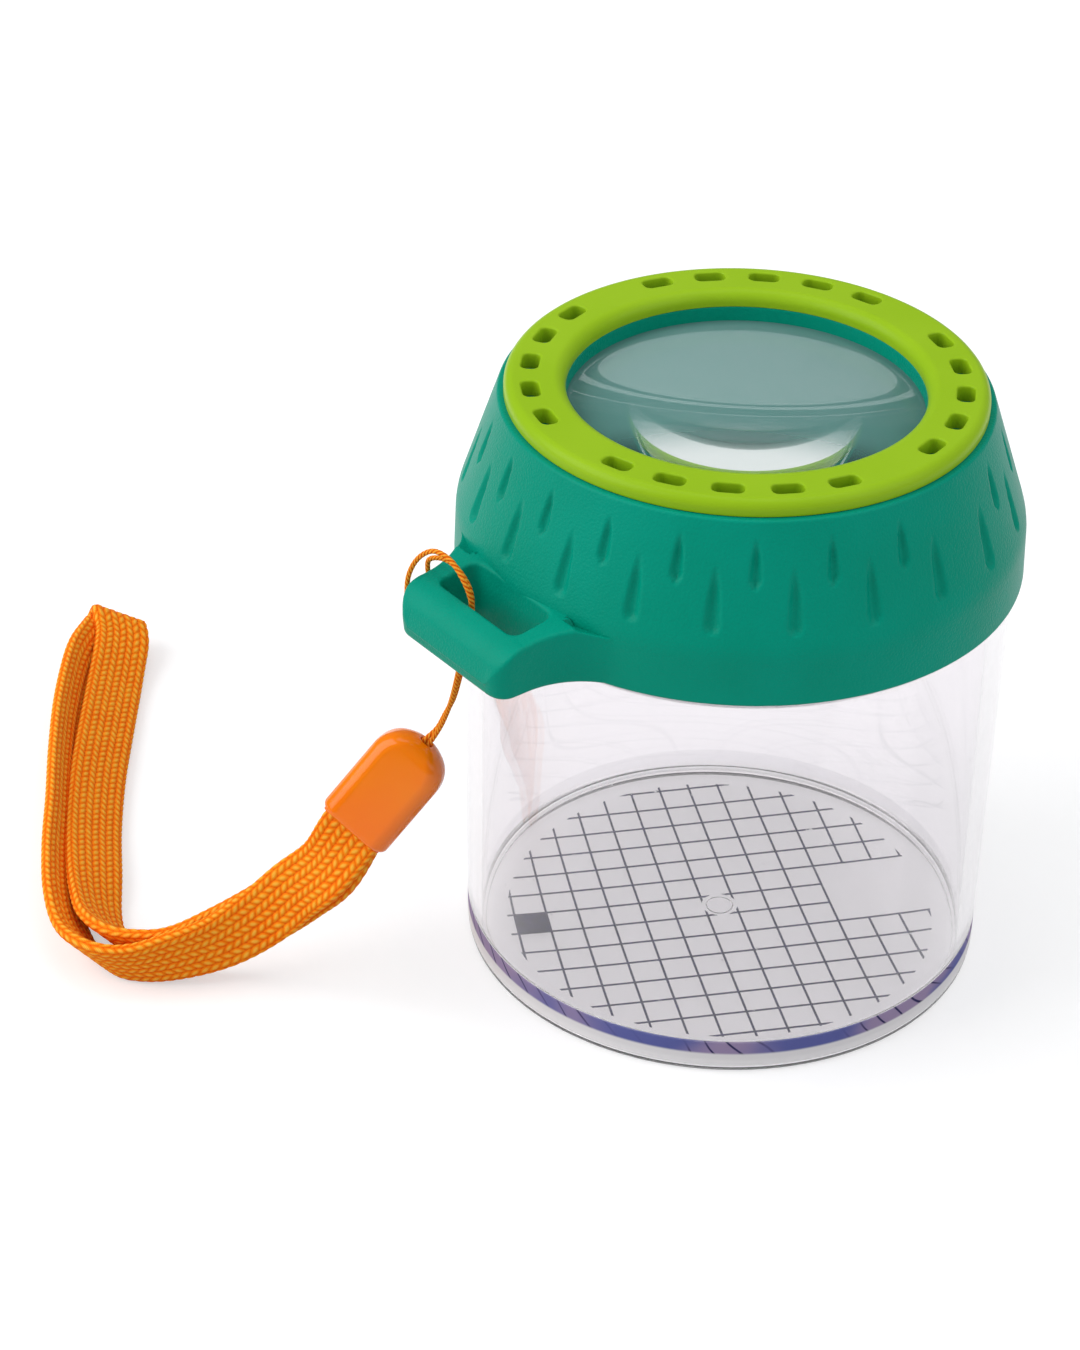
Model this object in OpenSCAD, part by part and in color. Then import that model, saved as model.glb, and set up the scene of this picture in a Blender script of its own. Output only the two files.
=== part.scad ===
// Bug catcher jar: clear threaded jar with a measuring grid under its floor, screw lid with air
// slots and a magnifying lens, and a wrist strap hung from the lid's strap eye.
// Millimetres, Z up, origin on the jar's axis at the face it stands on, strap eye along -X.

/* [Jar] */
// outer radius of the wall at the foot
jar_foot_radius = 40.2; // [35:0.05:45]
// outer radius of the wall under the lid
jar_top_radius = 41.25; // [36:0.05:46]
// wall at the floor
foot_wall = 2.5; // [1.5:0.1:5]
// how far the neck lies inside the wall
shoulder_width = 1.55; // [1:0.05:3]
// wall of the neck
neck_wall = 1.6; // [1:0.1:3]
// height of the shoulder that the lid's skirt comes down to
shoulder_height = 67.6; // [50:0.1:90]
// rounding of the shoulder's outer edge
shoulder_round = 0.6; // [0.2:0.1:2]
// height of the neck over the shoulder
neck_height = 11.4; // [8:0.1:20]
// rounding of the rim's edges
rim_round = 0.5; // [0.1:0.1:1]
// height of the floor's underside
floor_bottom = 1.2; // [0.5:0.1:4]
// height of the floor's upper side
floor_top = 4; // [2:0.1:8]
// inside rounding between floor and wall
floor_round = 2.5; // [0.5:0.1:6]
// radial width of the foot ring
foot_band = 2.2; // [1:0.1:5]
// rounding of the foot's outer edge
foot_round = 0.8; // [0.2:0.1:2]
// radius of the moulding mark at the floor's centre
mark_radius = 2.5; // [1:0.1:5]
// how far the moulding mark stands below the floor
mark_drop = 0.4; // [0.1:0.05:0.8]

/* [Grid] */
// size of a grid cell
cell = 5; // [2:0.5:10]
// number of lines each way
line_count = 14; // [4:1:20]
// width of a grid line
line_width = 0.35; // [0.2:0.05:0.8]
// thickness of the printed grid
ink_thickness = 0.1; // [0.05:0.01:0.2]
// bare margin between the grid and the foot ring
grid_margin = 4.3; // [1:0.1:15]
// rows over the grid's lower end where the filled cell lies
filled_row = 6; // [0:1:19]
// columns before the bare place at the right
bare_column = 10; // [1:1:19]
// first row of the bare place
bare_row = 5; // [0:1:19]
// rows of the bare place
bare_rows = 3; // [1:1:6]
// columns of the bare place
bare_columns = 5; // [1:1:10]
// turn of the grid about the jar's axis
grid_turn = -26.3; // [-90:0.1:90]

/* [Thread] */
// rise of the thread in one turn
thread_lead = 10; // [4:0.5:16]
// number of starts
thread_starts = 2; // [1:1:4]
// how far a ridge stands out
ridge_height = 1; // [0.5:0.05:2]
// width of a ridge at its root
ridge_root = 1.8; // [1:0.1:3]
// width of a ridge at its crest
ridge_crest = 1; // [0.4:0.1:2]
// space between a ridge's crest and the wall that it faces
ridge_play = 0.35; // [0.2:0.05:0.8]
// height of the neck ridge's low end over the shoulder
ridge_lift = 2.8; // [1.5:0.1:5]
// angle that a neck ridge covers
neck_ridge_sweep = 150; // [60:5:180]
// angle of the neck ridge's low end
neck_ridge_angle = 20; // [0:5:355]
// space between the lid's ridge and the neck's ridge over it
ridge_space = 0.4; // [0.1:0.1:1.2]
// angle that a lid ridge covers
lid_ridge_sweep = 120; // [40:5:180]
// angle of the lid ridge's low end, measured from the neck ridge's
lid_ridge_offset = 25; // [-90:5:90]
// steps along one ridge
ridge_steps = 24; // [12:4:48]

/* [Lid] */
// gap between the shoulder and the skirt's lower edge
skirt_gap = 0.5; // [0.2:0.1:2]
// wall at the skirt's lower edge
skirt_wall = 1.52; // [1:0.02:4]
// height of the skirt
skirt_height = 8.6; // [6:0.1:10.5]
// how much narrower the skirt is where the cone starts
skirt_draft = 0.24; // [0:0.02:0.5]
// step between the deck's outer edge and the vent ring
deck_margin = 0.9; // [0.5:0.1:3]
// height of the deck over the jar's rim
dome_height = 15.9; // [12:0.1:24]
// thickness of the deck
deck_thickness = 2.5; // [1.5:0.1:5]
// rounding of the skirt's lower edge and the deck's outer edge
lid_round = 0.5; // [0.2:0.1:1]
// radial wall of the cone
cone_wall = 1.7; // [1.2:0.1:3]
// how far under the ledge the skirt's bore starts to draw in
bore_bend = 3.4; // [2:0.1:6]
// space round the rim just under the sealing ledge
rim_play = 0.4; // [0.2:0.05:0.8]
// how far the sealing ledge reaches inside the rim
ledge_reach = 0.8; // [0.2:0.1:3]
// thickness of the sealing ledge
ledge_thickness = 1.6; // [1:0.1:3]
// wall of the barrel that holds the lens
barrel_wall = 1.2; // [0.8:0.1:3]
// height of the barrel from its lower edge to the deck's top
barrel_height = 8.7; // [7:0.1:12]

/* [Grooves] */
// number of long grooves round the cone
groove_count = 22; // [8:1:36]
// angle of the first long groove
long_angle = -119.7; // [-180:0.1:180]
// slant distance from the cone's top to a long groove's point
long_start = 6.7; // [2:0.1:12]
// slant distance from the cone's top to a long groove's round end
long_end = 16.3; // [6:0.1:18]
// width of a long groove at its round end
long_width = 2.1; // [1:0.1:4]
// angle of the first short groove
short_angle = -111.5; // [-180:0.1:180]
// slant distance from the cone's top to a short groove's point
short_start = 2.8; // [1:0.1:8]
// slant distance from the cone's top to a short groove's round end
short_end = 9.3; // [4:0.1:14]
// width of a short groove at its round end
short_width = 1.6; // [0.8:0.1:3]
// place in the row where a short groove is left out
short_gap = 2; // [0:1:21]
// depth of a groove
groove_depth = 0.4; // [0.2:0.05:1]
// half width left at a groove's point
groove_tip = 0.1; // [0.05:0.05:0.3]
// flats round a groove's end
groove_sides = 6; // [4:2:12]

/* [Vents] */
// space between the barrel and the air slots
slot_margin = 0.2; // [0.1:0.1:2]
// length of an air slot along the circle
slot_length = 4.6; // [2:0.1:8]
// width of an air slot across the circle
slot_width = 2.6; // [1:0.1:4]
// corner radius of an air slot
slot_corner = 1; // [0.3:0.1:1.3]
// angle between neighbouring slots of a group
slot_pitch = 15; // [10:1:20]
// number of slots in a group
slots_in_group = 5; // [1:1:6]
// number of groups
slot_groups = 4; // [1:1:4]
// angle of the first group's middle
group_angle = 45; // [0:5:90]

/* [Vent ring] */
// radial width of the ring
ring_width = 9.1; // [8:0.1:14]
// how far the seat and the ring lap over the lens's rim
seat_lap = 0.9; // [0.5:0.1:2]
// thickness of the ring
ring_thickness = 2.5; // [1.5:0.1:4]
// rounding of the ring's outer edge
ring_outer_round = 1.5; // [0.3:0.1:2]
// rounding of the ring's inner edge
ring_inner_round = 1.8; // [0.3:0.1:2]
// radius of a locating peg
peg_radius = 1.5; // [0.8:0.1:2]
// length of a locating peg
peg_length = 2.2; // [1:0.1:2.4]
// clearance round a peg
peg_play = 0.1; // [0.05:0.05:0.3]

/* [Lens] */
// radius of the lens with its rim
lens_radius = 27.3; // [20:0.1:28]
// width of the rim round the ground faces
lens_rim_width = 1.2; // [0.9:0.1:3]
// thickness of the rim
lens_rim_thickness = 3; // [2:0.1:4]
// depth of the rim's upper face under the deck's top
lens_depth = 2.3; // [1:0.1:3]
// radius of curvature of both faces
lens_curve_radius = 102; // [60:1:200]
// clearance round the lens
lens_play = 0.3; // [0.3:0.05:0.6]

/* [Lens retainer] */
// how much wider than the lens the retainer is
retainer_step = 1.7; // [1.2:0.1:3]
// how far the retainer laps under the lens's rim
retainer_lap = 1.1; // [0.6:0.1:2]
// thickness of the retainer
retainer_thickness = 2.6; // [1:0.1:3]
// bevel inside the retainer's lower edge
retainer_bevel = 1; // [0.2:0.1:2]
// clearance round the retainer
retainer_play = 0.1; // [0.05:0.05:0.3]

/* [Strap eye] */
// thickness of the eye's outer bar at the bottom
eye_bar = 4.9; // [3:0.1:8]
// how much further the bar reaches out at its belly
eye_belly = 0.4; // [0:0.1:1]
// height of the belly over the skirt's lower edge
eye_belly_rise = 3.4; // [1:0.1:6]
// half width of the eye
eye_half_width = 12.3; // [8:0.1:20]
// corner radius in plan
eye_corner = 3; // [1:0.1:5]
// height of the eye at its bar
eye_height = 7.9; // [6:0.1:8.6]
// height of the eye at the cone
eye_root_rise = 8.9; // [8:0.1:9.5]
// rounding of the top outer edge
eye_round = 4; // [1:0.1:5]
// radius of the hollow flare into the skirt
eye_flare = 12; // [4:0.5:20]
// space between the skirt and the slot
eye_slot_margin = 0.43; // [0.2:0.01:3]
// width of the slot
eye_slot_width = 6.3; // [3:0.1:8]
// width of the eye's arms beside the slot
eye_arm = 3.3; // [2:0.1:6]
// corner radius of the slot
eye_slot_corner = 1.5; // [0.5:0.1:3]

/* [Cord] */
// thickness of the round cord
cord_diameter = 0.8; // [0.5:0.1:2]
// sides of the cord
cord_sides = 8; // [8:1:12]
// space between the two strands where they lie side by side
strand_space = 0.06; // [0.02:0.02:0.2]
// rings on each stretch between two route points
cord_steps = 2; // [1:1:4]

/* [Strap cap] */
// length of the cap
cap_length = 18.3; // [12:0.1:26]
// width of the cap
cap_width = 12; // [10.8:0.1:16]
// thickness of the cap
cap_thickness = 6.6; // [5.6:0.1:9]
// corner radius of the cap's mouth end seen on its wide side
cap_mouth_round = 1; // [0.3:0.1:2]
// radius of the cap's tip corners seen on its wide side
cap_tip_round = 5.4; // [3:0.1:6]
// radius of the cap's long edges
cap_edge_round = 2.6; // [1:0.1:3]
// depth of the pocket for the strap
cap_pocket_depth = 12; // [6:0.1:14]
// clearance round the strap and the cord
cap_play = 0.15; // [0.1:0.05:0.3]
// depth of the cord's hole
cap_hole_depth = 4.3; // [2:0.1:6]

/* [Wrist strap] */
// width of the braid
strap_width = 10; // [6:0.1:14]
// thickness of the braid
strap_thickness = 2; // [1:0.1:3]
// bevel of the braid's edges
strap_edge = 0.6; // [0.2:0.1:0.9]
// space between the two layers where they lie together
layer_space = 0.1; // [0.05:0.05:0.4]
// how much shallower the second end stops in the pocket
strap_stagger = 5; // [0:0.5:8]
// rings on each stretch between two route points
strap_steps = 2; // [1:1:3]

/* [Hidden] */
$fn = 96;
overrun = 1;
neck_radius = jar_top_radius - shoulder_width;
jar_bore_foot_radius = jar_foot_radius - foot_wall;
jar_bore_radius = neck_radius - neck_wall;
rim_height = shoulder_height + neck_height;
grid_radius = jar_foot_radius - foot_band - grid_margin;
skirt_bore_radius = neck_radius + ridge_height + ridge_play;
skirt_radius = skirt_bore_radius + skirt_wall;
skirt_bottom = shoulder_height + skirt_gap;
skirt_top = skirt_bottom + skirt_height;
cone_foot_radius = skirt_radius - skirt_draft;
bore_bend_height = rim_height - bore_bend;
ledge_bore_radius = neck_radius + rim_play;
ledge_radius = jar_bore_radius - ledge_reach;
ledge_top = rim_height + ledge_thickness;
deck_top = rim_height + dome_height;
deck_bottom = deck_top - deck_thickness;
ring_bore_radius = lens_radius - seat_lap;
ring_radius = ring_bore_radius + ring_width;
ring_top = deck_top + ring_thickness;
cone_top_radius = ring_radius + deck_margin;
cone_slope = atan2(deck_top - skirt_top, cone_foot_radius - cone_top_radius);
lens_face_radius = lens_radius - lens_rim_width;
lens_rim_top = deck_top - lens_depth;
lens_rim_bottom = lens_rim_top - lens_rim_thickness;
lens_rise = lens_curve_radius - sqrt(pow(lens_curve_radius, 2) - pow(lens_face_radius, 2));
pocket_radius = lens_radius + lens_play;
retainer_radius = lens_radius + retainer_step;
retainer_bore_radius = lens_radius - retainer_lap;
retainer_pocket_radius = retainer_radius + retainer_play;
barrel_radius = retainer_pocket_radius + barrel_wall;
barrel_bottom = deck_top - barrel_height;
slot_circle = barrel_radius + slot_margin + slot_width / 2;
neck_ridge_start = shoulder_height + ridge_lift;
lid_ridge_start = neck_ridge_start - ridge_root - ridge_space + thread_lead * lid_ridge_offset / 360;
eye_slot_near = skirt_radius + eye_slot_margin;
eye_slot_far = eye_slot_near + eye_slot_width;
eye_slot_half = eye_half_width - eye_arm;
eye_reach = eye_slot_far + eye_bar;
eye_reach_high = eye_reach + eye_belly;
eye_belly_height = skirt_bottom + eye_belly_rise;
eye_top = skirt_bottom + eye_height;
eye_root_height = skirt_bottom + eye_root_rise;

// jar colours
clear_colour = [0.85, 0.88, 0.9, 0.35];
ink_colour = [0.16, 0.17, 0.33];
teal_colour = [0.02, 0.56, 0.47];
lime_colour = [0.58, 0.73, 0.13];
orange_colour = [0.94, 0.45, 0.1];
braid_colour = [0.93, 0.44, 0.12];

// points of an arc round c from angle a to angle b
function arc(c, r, a, b, n = 6) =
    [for (i = [0:n]) let (t = a + (b - a) * i / n) c + r * [cos(t), sin(t)]];

// radius of the cone's outside at a height
function cone_radius(z) =
    cone_foot_radius - (z - skirt_top) * (cone_foot_radius - cone_top_radius) / (deck_top - skirt_top);

function unit(v) = v / norm(v);

// smooth curve through a list of rows, n steps on each stretch
function spline(p, n) = let (m = len(p) - 1)
    [for (i = [0:m - 1], k = [0:n - 1])
        let (a = i == 0 ? 2 * p[0] - p[1] : p[i - 1], b = p[i], c = p[i + 1],
             d = i == m - 1 ? 2 * p[m] - p[m - 1] : p[i + 2], u = k / n)
        (2 * b + (c - a) * u + (2 * a - 5 * b + 4 * c - d) * u * u
            + (3 * b - a - 3 * c + d) * u * u * u) / 2,
     p[m]];

// place in a row of points, direction of travel there
function travel(p, i) = unit(p[min(i + 1, len(p) - 1)] - p[max(i - 1, 0)]);

// faces of a tube of n rings with s points each
function tube_faces(n, s) = concat(
    [[for (j = [0:s - 1]) s - 1 - j]],
    [for (i = [0:n - 2], j = [0:s - 1])
        let (a = i * s + j, b = i * s + (j + 1) % s)
        each [[a, b, b + s], [a, b + s, a + s]]],
    [[for (j = [0:s - 1]) (n - 1) * s + j]]);

// cord cap: its mouth, its direction towards the tip and the direction across its wide side
cap_mouth = [-56.9, 19.9, 29.5];
cap_axis = unit([0.54, -0.28, 0.79]);
cap_flat = unit(cross(cap_axis, [-0.385, 0.753, 0.533]));
cap_across = cross(cap_flat, cap_axis);
cap_tip = cap_mouth + cap_length * cap_axis;

// route of the cord between its two stretches in the cap, hitched round the eye's far arm
cord_lead = cap_hole_depth;
strand_gap = (cord_diameter + strand_space) / 2;
cord_route = concat(
    [cap_tip - cord_lead * cap_axis - strand_gap * cap_across,
     cap_tip - cord_lead / 2 * cap_axis - strand_gap * cap_across,
     cap_tip - strand_gap * cap_across],
    [[-46.1, 13.2, 46.5], [-45.9, 11.8, 49.5], [-46.2, 9.7, 54], [-46.6, 7.6, 60], [-46.9, 5.9, 66],
     [-47.6, 3.6, 71], [-48.5, 1.9, 75.5], [-49.3, 2.4, 79], [-49.8, 5, 81.6], [-50.4, 8.4, 81.8],
     [-51, 11.4, 79.3], [-51.5, 13.1, 75.5], [-51.6, 13.3, 71], [-51.4, 13.2, 68.1], [-50.5, 11.3, 66.8],
     [-48.8, 8.2, 66.9], [-46.9, 7.5, 67.1], [-45.4, 8.7, 66.9], [-45.2, 11.2, 66.8], [-46.1, 13.5, 67.8],
     [-46.9, 13.4, 70.5], [-47.7, 13.3, 74], [-48, 12.8, 77.3], [-47.9, 9, 79.2], [-47.6, 6, 78.6],
     [-47.1, 4, 76], [-46.5, 4.4, 71.5], [-45.9, 5.8, 66], [-45.6, 8, 60], [-45.3, 10.2, 54],
     [-45.2, 12.6, 49.5], [-45.7, 14, 46.3]],
    [cap_tip + strand_gap * cap_across,
     cap_tip - cord_lead / 2 * cap_axis + strand_gap * cap_across,
     cap_tip - cord_lead * cap_axis + strand_gap * cap_across]);

// route of the strap: x, y, z of its middle, tilt of its width from the vertical, heading of the tilt
strap_out = [
    [-61, 22, 22.5, 60, 95], [-64, 26, 17, 50, 105], [-68, 29, 12, 40, 120], [-74, 32, 8, 25, 145],
    [-81, 35.5, 6, 15, 190], [-86, 39, 5, 25, 215], [-89, 43.5, 5, 35, 190],
    [-89, 50, 4.5, 40, 170], [-86.5, 57.5, 5, 35, 160], [-81, 67.5, 5, 30, 150],
    [-74, 78.5, 5, 25, 145], [-66.5, 90, 5, 25, 145], [-58.5, 101.5, 5, 25, 140],
    [-51, 111, 5, 25, 140], [-46, 116, 5, 30, 130], [-40.5, 120, 4.5, 40, 125],
    [-37.5, 122.5, 3.6, 60, 120]];
strap_turn = [[-35.8, 123.1, 5, 62, 135]];
strap_back = [
    [-36.2, 121.4, 6.6, 65, 150], [-38, 117.5, 5.6, 65, 150], [-41.5, 113, 4.5, 60, 150],
    [-46, 107.5, 3.6, 60, 145], [-53.5, 98, 3.5, 60, 140], [-62, 87, 3.5, 60, 145],
    [-70, 75.5, 3.5, 60, 145], [-76.5, 65, 4, 60, 145], [-81.5, 56.5, 4.1, 50, 150],
    [-84, 50.5, 4.5, 45, 165], [-84.5, 45, 5, 35, 185], [-82.5, 40.5, 5, 20, 210],
    [-78.5, 37, 5.5, 15, 185], [-72.5, 34, 7.5, 25, 140], [-66.5, 30.5, 11, 35, 115],
    [-62, 26.5, 16, 50, 100], [-59, 22.5, 21.5, 60, 95]];
layer_gap = (strap_thickness + layer_space) / 2;

// row of the strap's route as middle point and width direction
function strap_row(r) = [r[0], r[1], r[2],
    sin(r[3]) * cos(r[4]), sin(r[3]) * sin(r[4]), cos(r[3])];
function end_row(depth, side) = let (p = cap_mouth + depth * cap_axis + side * layer_gap * cap_flat)
    [p[0], p[1], p[2], cap_across[0], cap_across[1], cap_across[2]];
strap_near_depth = cap_pocket_depth;
strap_far_depth = cap_pocket_depth - strap_stagger;
strap_rows = concat(
    [end_row(strap_near_depth, 1), end_row(strap_near_depth / 2, 1), end_row(0, 1)],
    [for (r = concat(strap_out, strap_turn, strap_back)) strap_row(r)],
    [end_row(0, -1), end_row(strap_far_depth / 2, -1), end_row(strap_far_depth, -1)]);

// one ridge of the thread as a band of four-cornered rings, rising counterclockwise
module ridge(root, crest, start_height, start_angle, sweep) {
    points = [for (i = [0:ridge_steps])
        let (a = start_angle + sweep * i / ridge_steps,
             z = start_height + thread_lead * sweep * i / ridge_steps / 360,
             fade = min(1, 4 * min(i, ridge_steps - i) / ridge_steps + ridge_fade),
             tip = root + (crest - root) * fade)
        each [[root * cos(a), root * sin(a), z - ridge_root / 2],
              [tip * cos(a), tip * sin(a), z - ridge_crest / 2],
              [tip * cos(a), tip * sin(a), z + ridge_crest / 2],
              [root * cos(a), root * sin(a), z + ridge_root / 2]]];
    flip = crest < root;
    faces = tube_faces(ridge_steps + 1, 4);
    polyhedron(points, flip ? [for (f = faces) [for (j = [len(f) - 1:-1:0]) f[j]]] : faces);
}
ridge_fade = 0.2;
ridge_bury = 0.3;

module jar_profile() {
    polygon(concat(
        [[0, floor_bottom], [jar_foot_radius - foot_band, floor_bottom],
         [jar_foot_radius - foot_band, 0]],
        arc([jar_foot_radius - foot_round, foot_round], foot_round, -90, 0),
        arc([jar_top_radius - shoulder_round, shoulder_height - shoulder_round],
            shoulder_round, 0, 90),
        [[neck_radius, shoulder_height]],
        arc([neck_radius - rim_round, rim_height - rim_round], rim_round, 0, 90),
        arc([jar_bore_radius + rim_round, rim_height - rim_round], rim_round, 90, 180),
        arc([jar_bore_foot_radius - floor_round, floor_top + floor_round], floor_round, 0, -90),
        [[0, floor_top]]));
}

module jar_body() color(clear_colour) union() {
    rotate_extrude() jar_profile();
    translate([0, 0, floor_bottom - mark_drop])
        cylinder(r = mark_radius, h = mark_drop + overrun);
    for (k = [0:thread_starts - 1])
        ridge(neck_radius - ridge_bury, neck_radius + ridge_height, neck_ridge_start,
              neck_ridge_angle + 360 * k / thread_starts, neck_ridge_sweep);
}

// grid lines at a row number: distance from the grid's middle
function line_place(i) = (i - (line_count - 1) / 2) * cell;

module floor_grid() color(ink_colour) translate([0, 0, floor_bottom - ink_thickness])
    linear_extrude(ink_thickness) difference() {
        circle(r = grid_radius);
        circle(r = mark_radius + line_width);
        rotate(grid_turn) {
            // bare cells; the filled cell beside the scale's label place is left standing
            for (i = [-1:line_count - 1], j = [-1:line_count - 1])
                if (!(i == 0 && j == filled_row)
                    && !(i >= bare_column && j >= bare_row && j < bare_row + bare_rows))
                    translate([line_place(i) + line_width / 2, line_place(j) + line_width / 2])
                        square(cell - line_width);
            // one bare place at the right end of three rows
            translate([line_place(bare_column) + line_width / 2, line_place(bare_row) + line_width / 2])
                square([bare_columns * cell, bare_rows * cell - line_width]);
        }
    }

module lid_outside() {
    rotate_extrude() polygon(concat(
        [[0, skirt_bottom]],
        arc([skirt_radius - lid_round, skirt_bottom + lid_round], lid_round, -90, 0),
        [[cone_foot_radius, skirt_top]],
        arc([cone_top_radius - lid_round, deck_top - lid_round], lid_round, 0, 90),
        [[0, deck_top]]));
}

module eye_plan() {
    flare_x = sqrt(pow(skirt_radius + eye_flare, 2) - pow(eye_half_width + eye_flare, 2));
    meet = skirt_radius / (skirt_radius + eye_flare);
    difference() {
        union() {
            translate([-eye_reach_high + eye_corner, -eye_half_width])
                square([eye_reach_high - eye_corner - ledge_radius, 2 * eye_half_width]);
            translate([-eye_reach_high, -eye_half_width + eye_corner])
                square([eye_corner, 2 * (eye_half_width - eye_corner)]);
            for (s = [-1, 1]) {
                translate([-eye_reach_high + eye_corner, s * (eye_half_width - eye_corner)])
                    circle(r = eye_corner);
                difference() {
                    polygon([[-flare_x, s * eye_half_width],
                             [-flare_x * meet, s * (eye_half_width + eye_flare) * meet],
                             [-ledge_radius, s * eye_half_width]]);
                    translate([-flare_x, s * (eye_half_width + eye_flare)]) circle(r = eye_flare);
                }
            }
        }
        translate([-eye_slot_far, -eye_slot_half + eye_slot_corner])
            square([eye_slot_far - eye_slot_near, 2 * (eye_slot_half - eye_slot_corner)]);
        translate([-eye_slot_far + eye_slot_corner, -eye_slot_half])
            square([eye_slot_far - eye_slot_near - 2 * eye_slot_corner, 2 * eye_slot_half]);
        for (s = [-1, 1], x = [eye_slot_near + eye_slot_corner, eye_slot_far - eye_slot_corner])
            translate([-x, s * (eye_slot_half - eye_slot_corner)]) circle(r = eye_slot_corner);
    }
}

module strap_eye() intersection() {
    translate([0, 0, skirt_bottom]) linear_extrude(eye_root_height - skirt_bottom) eye_plan();
    rotate([90, 0, 0]) translate([0, 0, -skirt_radius]) linear_extrude(2 * skirt_radius)
        polygon(concat(
            [[-ledge_radius, skirt_bottom], [-ledge_radius, eye_root_height],
             [-cone_foot_radius, eye_root_height]],
            arc([-eye_reach_high + eye_round, eye_top - eye_round], eye_round, 90, 180),
            [[-eye_reach_high, eye_belly_height], [-eye_reach, skirt_bottom]]));
}

module lid_cavity() {
    rotate_extrude() polygon([
        [0, skirt_bottom - overrun], [skirt_bore_radius + lid_round, skirt_bottom - overrun],
        [skirt_bore_radius + lid_round, skirt_bottom], [skirt_bore_radius, skirt_bottom + lid_round],
        [skirt_bore_radius, bore_bend_height], [ledge_bore_radius, rim_height],
        [ledge_radius, rim_height], [ledge_radius, ledge_top],
        [cone_radius(ledge_top) - cone_wall, ledge_top],
        [cone_radius(deck_bottom) - cone_wall, deck_bottom],
        [barrel_radius, deck_bottom], [barrel_radius, barrel_bottom],
        [retainer_pocket_radius, barrel_bottom], [retainer_pocket_radius, lens_rim_bottom],
        [pocket_radius, lens_rim_bottom], [pocket_radius, lens_rim_top],
        [ring_bore_radius, lens_rim_top], [ring_bore_radius, deck_top + overrun],
        [0, deck_top + overrun]]);
}

// one groove: a drop-shaped pocket, pointed towards the top, sunk square to the cone's surface
module groove(angle, start, end, width) {
    rotate(angle) translate([cone_top_radius, 0, deck_top]) rotate([0, cone_slope, 0])
        translate([0, 0, -groove_depth]) linear_extrude(groove_depth + overrun)
            polygon(concat([[start, -groove_tip], [start, groove_tip]],
                arc([end - width / 2, 0], width / 2, 90, -90, groove_sides)));
}

module slot_row(height, depth) {
    for (g = [0:slot_groups - 1], k = [0:slots_in_group - 1])
        rotate(group_angle + 360 * g / slot_groups + slot_pitch * (k - (slots_in_group - 1) / 2))
            translate([slot_circle, 0, height]) linear_extrude(depth) union() {
                square([slot_width, slot_length - 2 * slot_corner], center = true);
                square([slot_width - 2 * slot_corner, slot_length], center = true);
                for (x = [-1, 1], y = [-1, 1])
                    translate([x * (slot_width / 2 - slot_corner), y * (slot_length / 2 - slot_corner)])
                        circle(r = slot_corner, $fn = 24);
            }
}

module peg_row(height, depth, radius) {
    for (g = [0:slot_groups - 1])
        rotate(360 * g / slot_groups) translate([slot_circle, 0, height])
            cylinder(r = radius, h = depth);
}

module lid_collar() color(teal_colour) union() {
    difference() {
        union() {
            lid_outside();
            strap_eye();
        }
        lid_cavity();
        slot_row(deck_bottom - overrun, deck_thickness + 2 * overrun);
        peg_row(deck_top - peg_length, peg_length + overrun, peg_radius + peg_play);
        for (k = [0:groove_count - 1]) {
            groove(long_angle + 360 * k / groove_count, long_start, long_end, long_width);
            if (k != short_gap)
                groove(short_angle + 360 * k / groove_count, short_start, short_end, short_width);
        }
    }
    for (k = [0:thread_starts - 1])
        ridge(skirt_bore_radius + ridge_bury, skirt_bore_radius - ridge_height, lid_ridge_start,
              neck_ridge_angle + lid_ridge_offset + 360 * k / thread_starts, lid_ridge_sweep);
}

module vent_ring() color(lime_colour) difference() {
    union() {
        rotate_extrude() polygon(concat(
            [[ring_bore_radius, deck_top], [ring_radius, deck_top]],
            arc([ring_radius - ring_outer_round, ring_top - ring_outer_round], ring_outer_round, 0, 90),
            arc([ring_bore_radius + ring_inner_round, ring_top - ring_inner_round],
                ring_inner_round, 90, 180)));
        peg_row(deck_top - peg_length, peg_length + overrun, peg_radius);
    }
    slot_row(deck_top - overrun, ring_thickness + 2 * overrun);
}

module magnifier_lens() color(clear_colour) rotate_extrude() polygon(concat(
    [[0, lens_rim_bottom - lens_rise]],
    arc([0, lens_rim_bottom - lens_rise + lens_curve_radius], lens_curve_radius,
        -90, -90 + asin(lens_face_radius / lens_curve_radius), 8),
    [[lens_radius, lens_rim_bottom], [lens_radius, lens_rim_top]],
    arc([0, lens_rim_top + lens_rise - lens_curve_radius], lens_curve_radius,
        90 - asin(lens_face_radius / lens_curve_radius), 90, 8)));

module lens_retainer() color(teal_colour) rotate_extrude() polygon([
    [retainer_bore_radius, lens_rim_bottom],
    [retainer_bore_radius, lens_rim_bottom - retainer_thickness + retainer_bevel],
    [retainer_bore_radius + retainer_bevel, lens_rim_bottom - retainer_thickness],
    [retainer_radius, lens_rim_bottom - retainer_thickness], [retainer_radius, lens_rim_bottom]]);

module cord_loop() color(orange_colour) {
    line = spline(cord_route, cord_steps);
    n = len(line);
    points = [for (i = [0:n - 1])
        let (t = travel(line, i),
             a = unit(cap_flat - (cap_flat * t) * t),
             b = cross(t, a))
        each [for (j = [0:cord_sides - 1])
            line[i] + cord_diameter / 2 * (cos(360 * j / cord_sides) * a + sin(360 * j / cord_sides) * b)]];
    polyhedron(points, tube_faces(n, cord_sides));
}

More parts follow.
